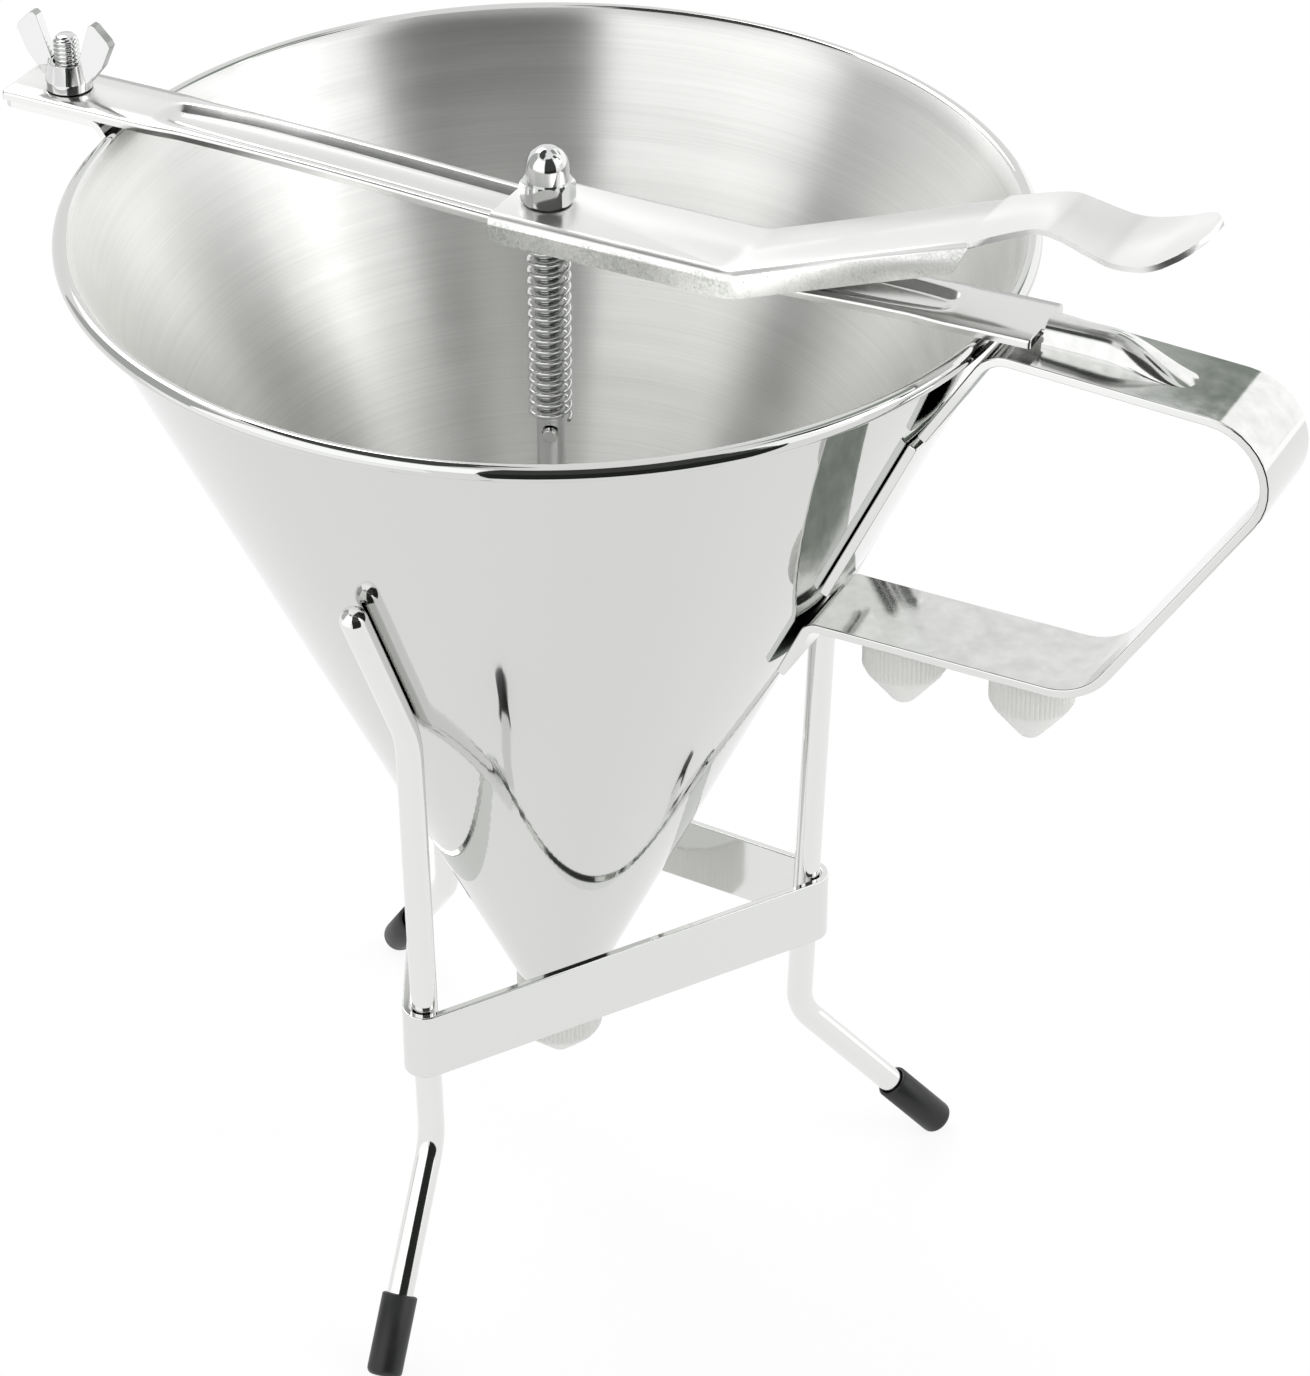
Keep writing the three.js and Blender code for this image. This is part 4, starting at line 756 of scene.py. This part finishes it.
bends = [math.pi / 2 * k / BAR_CORNER_STEPS for k in range(BAR_CORNER_STEPS + 1)]
straight = range(int((BAR_SHOULDER - BAR_LEFT - 2 * BAR_CORNER) / MM) + 1)
stations = [BAR_LEFT + BAR_CORNER * (1 - math.cos(bend)) for bend in bends[:-1]]
stations += [BAR_LEFT + BAR_CORNER + k * MM for k in straight]
stations += [BAR_SHOULDER - BAR_CORNER * (1 - math.sin(bend)) for bend in bends]
stations += [BAR_SHOULDER + SHOULDER_WIDTH, BAR_RIGHT]
bm = bmesh.new()
loops = []
for x in stations:
    top = bar_height(x)
    section = bar_section(x)
    upper = [bm.verts.new((x, y, top - down)) for y, down in section]
    edge_drop = max(0, section[0][1] - BAR_EDGE_DROP)
    lower = [bm.verts.new((x, y, top - BAR_SHEET - edge_drop * (abs(y) > BAR_EDGE_FROM)))
             for y, _ in reversed(section)]
    loops.append(upper + lower)
for loop, other in zip(loops, loops[1:]):
    for k in range(len(loop)):
        bm.faces.new((loop[k - 1], loop[k], other[k], other[k - 1]))
bm.faces.new(loops[0])
bm.faces.new(loops[-1])
satin = satin_stainless("stainless_satin_strip", "#dddddc", 0.16, 0.22)
finished("crossbar_strip", bm, ["crossbar"], "funnel", [satin], sharp=40)

# Fulcrum: a small stainless saddle welded under the bar, and the pin that turns in it.
# The pin is fixed between the lever's flanges, so it belongs to the lever.
saddle = finished("fulcrum_saddle", cad_copy("fulcrum_lug"), ["fulcrum_lug"], "funnel",
                  [turned_steel], place=(0, 0, 0))
eased(saddle, EDGE_EASING)
finished("fulcrum_pin", cad_copy("pivot_pin"), ["pivot_pin"], "lever", [turned_steel],
         place=(0, 0, 0))

# Lever: folded from 1.2 mm stainless sheet, with a channel over the bar and a flat curved thumb rest.
# The web is brushed, and the pressed flanges keep fine grey specks from the die.


def pressed_stainless():
    """Sheet rubbed by a press tool: bright, with fine grey specks in loose patches."""
    material, tree = new_material("stainless_pressed_flange")
    speck_width = 0.6 * MM
    patch_width = 7 * MM
    place = add_node(tree, "ShaderNodeTexCoord")
    specks = add_node(tree, "ShaderNodeTexNoise", {}, Vector=place.outputs["Object"], Scale=1 / speck_width,
                      Detail=4.0)
    patches = add_node(tree, "ShaderNodeTexNoise", {}, Vector=place.outputs["Object"], Scale=1 / patch_width,
                       Detail=2.0)
    both = add_node(tree, "ShaderNodeMath", {"operation": "MULTIPLY"}, _0=specks.outputs["Fac"],
                    _1=patches.outputs["Fac"])
    worn = add_node(tree, "ShaderNodeMapRange", {}, Value=both.outputs[0], From_Min=0.16, From_Max=0.5)
    shade = add_node(tree, "ShaderNodeMix", {"data_type": "RGBA"}, _0=worn.outputs[0], _6=srgb("#f2f2f1"),
                     _7=srgb("#bfc2be"))
    matt = add_node(tree, "ShaderNodeMapRange", {}, Value=worn.outputs[0], To_Min=0.16, To_Max=0.4)
    bump = add_node(tree, "ShaderNodeBump", {}, Height=specks.outputs["Fac"], Strength=0.1,
                    Distance=0.02 * MM)
    shader = add_node(tree, "ShaderNodeBsdfPrincipled", {}, Base_Color=shade.outputs[2], Metallic=1.0,
                      Roughness=matt.outputs[0], Normal=bump.outputs[0])
    add_node(tree, "ShaderNodeOutputMaterial", {}, Surface=shader.outputs[0])
    return material


FACING_SIDE = 0.9
FINE_EASING = 0.25 * MM
bm = cad_copy("lever")
for face in bm.faces:
    on_flange = abs(face.normal.y) > FACING_SIDE and face.calc_center_median().x < ROLL_MIDDLE
    face.material_index = 1 if on_flange else 0
lever_satin = satin_stainless("stainless_satin_lever", "#e8e8e7", 0.26, 0.34)
pressed = pressed_stainless()
lever = finished("lever_channel", bm, ["lever"], "lever", [lever_satin, pressed],
                 place=(0, 0, 0), sharp=40)
eased(lever, FINE_EASING, angle=40)

# Piston: a ground 6 mm stainless rod with a plated dome nut on top and a point that closes the nozzle.
# A pin through the rod carries the spring.
finished("piston_shaft", cad_copy("piston_rod"), ["piston_rod"], "piston", [bright_steel],
         place=(0, 0, 0))
nut = finished("dome_nut_plated", cad_copy("dome_nut"), ["dome_nut"], "piston",
               [bright_steel], place=(0, 0, 0))
eased(nut, FINE_EASING, angle=35)
pin = finished("spring_pin", cad_copy("cross_pin"), ["cross_pin"], "piston",
               [bright_steel], place=(0, 0, 0))
eased(pin, EDGE_EASING)
finished("piston_point", cad_copy("stopper"), ["stopper"], "piston", [bright_steel],
         place=(0, 0, 0))

# Return spring: 1 mm drawn stainless wire, wound open, between the bar's underside and the cross pin.
# It pushes the piston down, and is squeezed against the bar when the piston rises.
SPRING_RADIUS = 4.2 * MM
WIRE_RADIUS = 0.5 * MM
WIRE_SIDES = 10
SPRING_COILS = 18
STEPS_PER_COIL = 28
spring_low, spring_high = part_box("return_spring")
spring_rise = spring_high[2] - spring_low[2] - 2 * WIRE_RADIUS
bm = bmesh.new()
section = bmesh.ops.create_circle(bm, segments=WIRE_SIDES, radius=WIRE_RADIUS, cap_ends=False,
                                  matrix=Matrix.Rotation(math.pi / 2, 4, "X"))["verts"]
bmesh.ops.translate(bm, vec=(SPRING_RADIUS, 0, spring_low[2] - RIM_HEIGHT + WIRE_RADIUS), verts=section)
steps = SPRING_COILS * STEPS_PER_COIL
bmesh.ops.spin(bm, geom=section + bm.edges[:], cent=(0, 0, 0), axis=(0, 0, 1),
               dvec=(0, 0, spring_rise / steps), angle=2 * math.pi * SPRING_COILS, steps=steps,
               use_merge=False, use_duplicate=False)
bmesh.ops.holes_fill(bm, edges=[edge for edge in bm.edges if edge.is_boundary], sides=0)
spring = finished("spring_wire", bm, ["return_spring"], "funnel", [bright_steel], sharp=60)
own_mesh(spring)

# Stand: three 5.8 mm stainless rods bent alike, with round top ends that lean along the cone.
# They are bright-polished, and each foot turns a little to one side, as bending by hand leaves it.
LEG_RADIUS = 2.9 * MM
LEG_AZIMUTHS = [-93.05, 26.95, 146.95]
FOOT_TWISTS = [12.5, 12.5, -5.5]
LEG_TOP = -53.7 * MM
LEG_KNEE = -92.5 * MM
LEG_HEEL = -201 * MM
LEG_LEAN = 3.49 * MM
FOOT_ANGLE = math.radians(41)
KNEE_BEND = 25 * MM
HEEL_BEND = 12 * MM
CAP_RADIUS = 3.9 * MM
CAP_LENGTH = 18 * MM
CAP_ROUNDING = 1.5 * MM
CAP_FLAT = 0.6 * MM
CAP_END = 1.8 * MM
BEND_STEPS = 14
DOME_STEPS = 8
ROD_SIDES = 32
leg_offset = (LEG_RADIUS + GAP) / math.cos(CONE_ANGLE)
# Polished rod: the palest of the steels, with long clean highlights.
leg_steel = polished_stainless("stainless_polished_rod", "#e6e6e5", 0.09, 0.15)


def ring_edges(geometry):
    """The edges among some geometry."""
    return [item for item in geometry if isinstance(item, bmesh.types.BMEdge)]


def bend_rod(bm, ring, start, turn_point, end, radius):
    """Carries a ring of edges straight to a bend and round it."""
    arriving = (turn_point - start).normalized()
    leaving = (end - turn_point).normalized()
    turn = arriving.angle(leaving)
    axis = arriving.cross(leaving).normalized()
    setback = radius * math.tan(turn / 2)
    bend_start = turn_point - arriving * setback
    centre = bend_start + axis.cross(arriving) * radius
    new = bmesh.ops.extrude_edge_only(bm, edges=ring)["geom"]
    verts = [item for item in new if isinstance(item, bmesh.types.BMVert)]
    bmesh.ops.translate(bm, vec=bend_start - start, verts=verts)
    ring = [edge for edge in ring_edges(new) if all(v in verts for v in edge.verts)]
    swept = bmesh.ops.spin(bm, geom=verts + ring, cent=centre, axis=axis, angle=turn, steps=BEND_STEPS,
                           use_merge=False, use_duplicate=False)["geom_last"]
    return ring_edges(swept), turn_point + leaving * setback


cap_drop = ((CAP_RADIUS - CAP_ROUNDING) * math.sin(FOOT_ANGLE) + CAP_ROUNDING
            - CAP_ROUNDING * math.cos(FOOT_ANGLE))
cap_end_z = cap_drop - CAP_FLAT - RIM_HEIGHT
knee = Vector((cone_radius(LEG_KNEE) + leg_offset, 0, LEG_KNEE))
top = Vector((cone_radius(LEG_TOP) + leg_offset, 0, LEG_TOP))
heel = Vector((knee.x - LEG_LEAN, 0, LEG_HEEL))


def foot_way(twist):
    """Direction of a foot, down and outwards, turned by its twist in degrees."""
    return Vector((math.sin(FOOT_ANGLE) * math.cos(math.radians(twist)),
                   math.sin(FOOT_ANGLE) * math.sin(math.radians(twist)), -math.cos(FOOT_ANGLE)))


def cap_tip(twist):
    """Middle of the end face of a foot's cap."""
    return heel + foot_way(twist) * ((heel.z - cap_end_z) / math.cos(FOOT_ANGLE))


for index, (azimuth, twist) in enumerate(zip(LEG_AZIMUTHS, FOOT_TWISTS), 1):
    lean = (knee - top).normalized()
    quarter = [math.pi / 2 * k / DOME_STEPS for k in range(DOME_STEPS + 1)]
    bm = turned([(LEG_RADIUS * math.sin(a), LEG_RADIUS * math.cos(a)) for a in quarter], ROD_SIDES)
    bmesh.ops.remove_doubles(bm, verts=bm.verts, dist=MERGE_WITHIN)
    ring = [edge for edge in bm.edges if edge.is_boundary]
    bmesh.ops.rotate(bm, matrix=Matrix.Rotation(math.atan2(-lean.x, -lean.z), 3, "Y"), verts=bm.verts)
    bmesh.ops.translate(bm, vec=top, verts=bm.verts)
    rod_end = cap_tip(twist) - foot_way(twist) * (CAP_END + GAP)
    ring, reached = bend_rod(bm, ring, top, knee, heel, KNEE_BEND)
    ring, reached = bend_rod(bm, ring, reached, heel, rod_end, HEEL_BEND)
    new = bmesh.ops.extrude_edge_only(bm, edges=ring)["geom"]
    bmesh.ops.translate(bm, vec=rod_end - reached,
                        verts=[v for v in new if isinstance(v, bmesh.types.BMVert)])
    bmesh.ops.holes_fill(bm, edges=[edge for edge in bm.edges if edge.is_boundary], sides=0)
    bmesh.ops.rotate(bm, matrix=Matrix.Rotation(math.radians(azimuth), 3, "Z"), verts=bm.verts)
    finished(f"stand_rod_{index}", bm, [f"leg_{index}"], "stand", [leg_steel])

# Rubber caps: moulded black PVC with a soft sheen, simply pushed on the rods' ends.
# Each has a rounded bottom, worn flat where it stands.
CAP_ROUND_STEP = 15  # degrees
CAP_MOUTH_BEVEL = 0.3 * MM
CAP_SIDES = 48


def soft_rubber():
    """Black PVC rubber: a broad soft sheen and a faint dusty bloom."""
    material, tree = new_material("rubber_black_cap")
    bloom_width = 3 * MM
    grain_width = 0.3 * MM
    place = add_node(tree, "ShaderNodeTexCoord")
    bloom = add_node(tree, "ShaderNodeTexNoise", {}, Vector=place.outputs["Object"], Scale=1 / bloom_width,
                     Detail=5.0)
    shade = add_node(tree, "ShaderNodeMix", {"data_type": "RGBA"}, _0=bloom.outputs["Fac"],
                     _6=srgb("#101112"), _7=srgb("#1d1e1f"))
    matt = add_node(tree, "ShaderNodeMapRange", {}, Value=bloom.outputs["Fac"], To_Min=0.34, To_Max=0.5)
    grain = add_node(tree, "ShaderNodeTexNoise", {}, Vector=place.outputs["Object"], Scale=1 / grain_width,
                     Detail=2.0)
    bump = add_node(tree, "ShaderNodeBump", {}, Height=grain.outputs["Fac"], Strength=0.15,
                    Distance=0.02 * MM)
    shader = add_node(tree, "ShaderNodeBsdfPrincipled", {}, Base_Color=shade.outputs[2],
                      Roughness=matt.outputs[0], Normal=bump.outputs[0])
    add_node(tree, "ShaderNodeOutputMaterial", {}, Surface=shader.outputs[0])
    return material


rubber = soft_rubber()
for index, (azimuth, twist) in enumerate(zip(LEG_AZIMUTHS, FOOT_TWISTS), 1):
    arc = [math.radians(angle) for angle in range(0, 90 + CAP_ROUND_STEP, CAP_ROUND_STEP)]
    profile = [(0, 0)]
    profile += [(CAP_RADIUS - CAP_ROUNDING + CAP_ROUNDING * math.sin(a),
                 CAP_ROUNDING - CAP_ROUNDING * math.cos(a)) for a in arc]
    inner = LEG_RADIUS + GAP
    profile += [(CAP_RADIUS, CAP_LENGTH - CAP_MOUTH_BEVEL), (CAP_RADIUS - CAP_MOUTH_BEVEL, CAP_LENGTH),
                (inner, CAP_LENGTH), (inner, CAP_END), (0, CAP_END)]
    bm = turned(profile, CAP_SIDES)
    bmesh.ops.rotate(bm, matrix=Matrix.Rotation(-FOOT_ANGLE, 3, "Y"), verts=bm.verts)
    bmesh.ops.rotate(bm, matrix=Matrix.Rotation(math.radians(twist), 3, "Z"), verts=bm.verts)
    bmesh.ops.translate(bm, vec=cap_tip(twist), verts=bm.verts)
    cut = bmesh.ops.bisect_plane(bm, geom=bm.verts[:] + bm.edges[:] + bm.faces[:], clear_outer=True,
                                 plane_co=(0, 0, -RIM_HEIGHT), plane_no=(0, 0, -1))["geom_cut"]
    bmesh.ops.holes_fill(bm, edges=ring_edges(cut), sides=0)
    bmesh.ops.rotate(bm, matrix=Matrix.Rotation(math.radians(azimuth), 3, "Z"), verts=bm.verts)
    finished(f"rubber_cap_{index}", bm, [f"foot_cap_{index}"], "stand", [rubber], sharp=50)

# Band: one flat strip bent round the three legs into a triangle and spot-welded to them.
# It is of the same buffed strip as the handle.
BAND_TOP = -163.4 * MM
BAND_HEIGHT = 16.2 * MM
BAND_SHEET = 1.6 * MM
BAND_CORNER_STEPS = 12
share = (BAND_TOP - LEG_KNEE) / (LEG_HEEL - LEG_KNEE)
band_reach = knee.x - LEG_LEAN * share
bm = bmesh.new()
inside = LEG_RADIUS + GAP
outline = []
for azimuth in LEG_AZIMUTHS:
    middle = math.radians(azimuth)
    for k in range(BAND_CORNER_STEPS + 1):
        angle = middle + (k / BAND_CORNER_STEPS - 0.5) * 2 * math.pi / 3
        outline.append(bm.verts.new((band_reach * math.cos(middle) + inside * math.cos(angle),
                                     band_reach * math.sin(middle) + inside * math.sin(angle), BAND_TOP)))
ring = [bm.edges.new((outline[k - 1], outline[k])) for k in range(len(outline))]
new = bmesh.ops.extrude_edge_only(bm, edges=ring)["geom"]
bmesh.ops.translate(bm, vec=(0, 0, -BAND_HEIGHT),
                    verts=[v for v in new if isinstance(v, bmesh.types.BMVert)])
bmesh.ops.recalc_face_normals(bm, faces=bm.faces)
bmesh.ops.solidify(bm, geom=bm.faces[:], thickness=-BAND_SHEET)
band = finished("stand_band_strip", bm, ["stand_band"], "stand", [strip_steel], sharp=50)
eased(band, EDGE_EASING, angle=50)
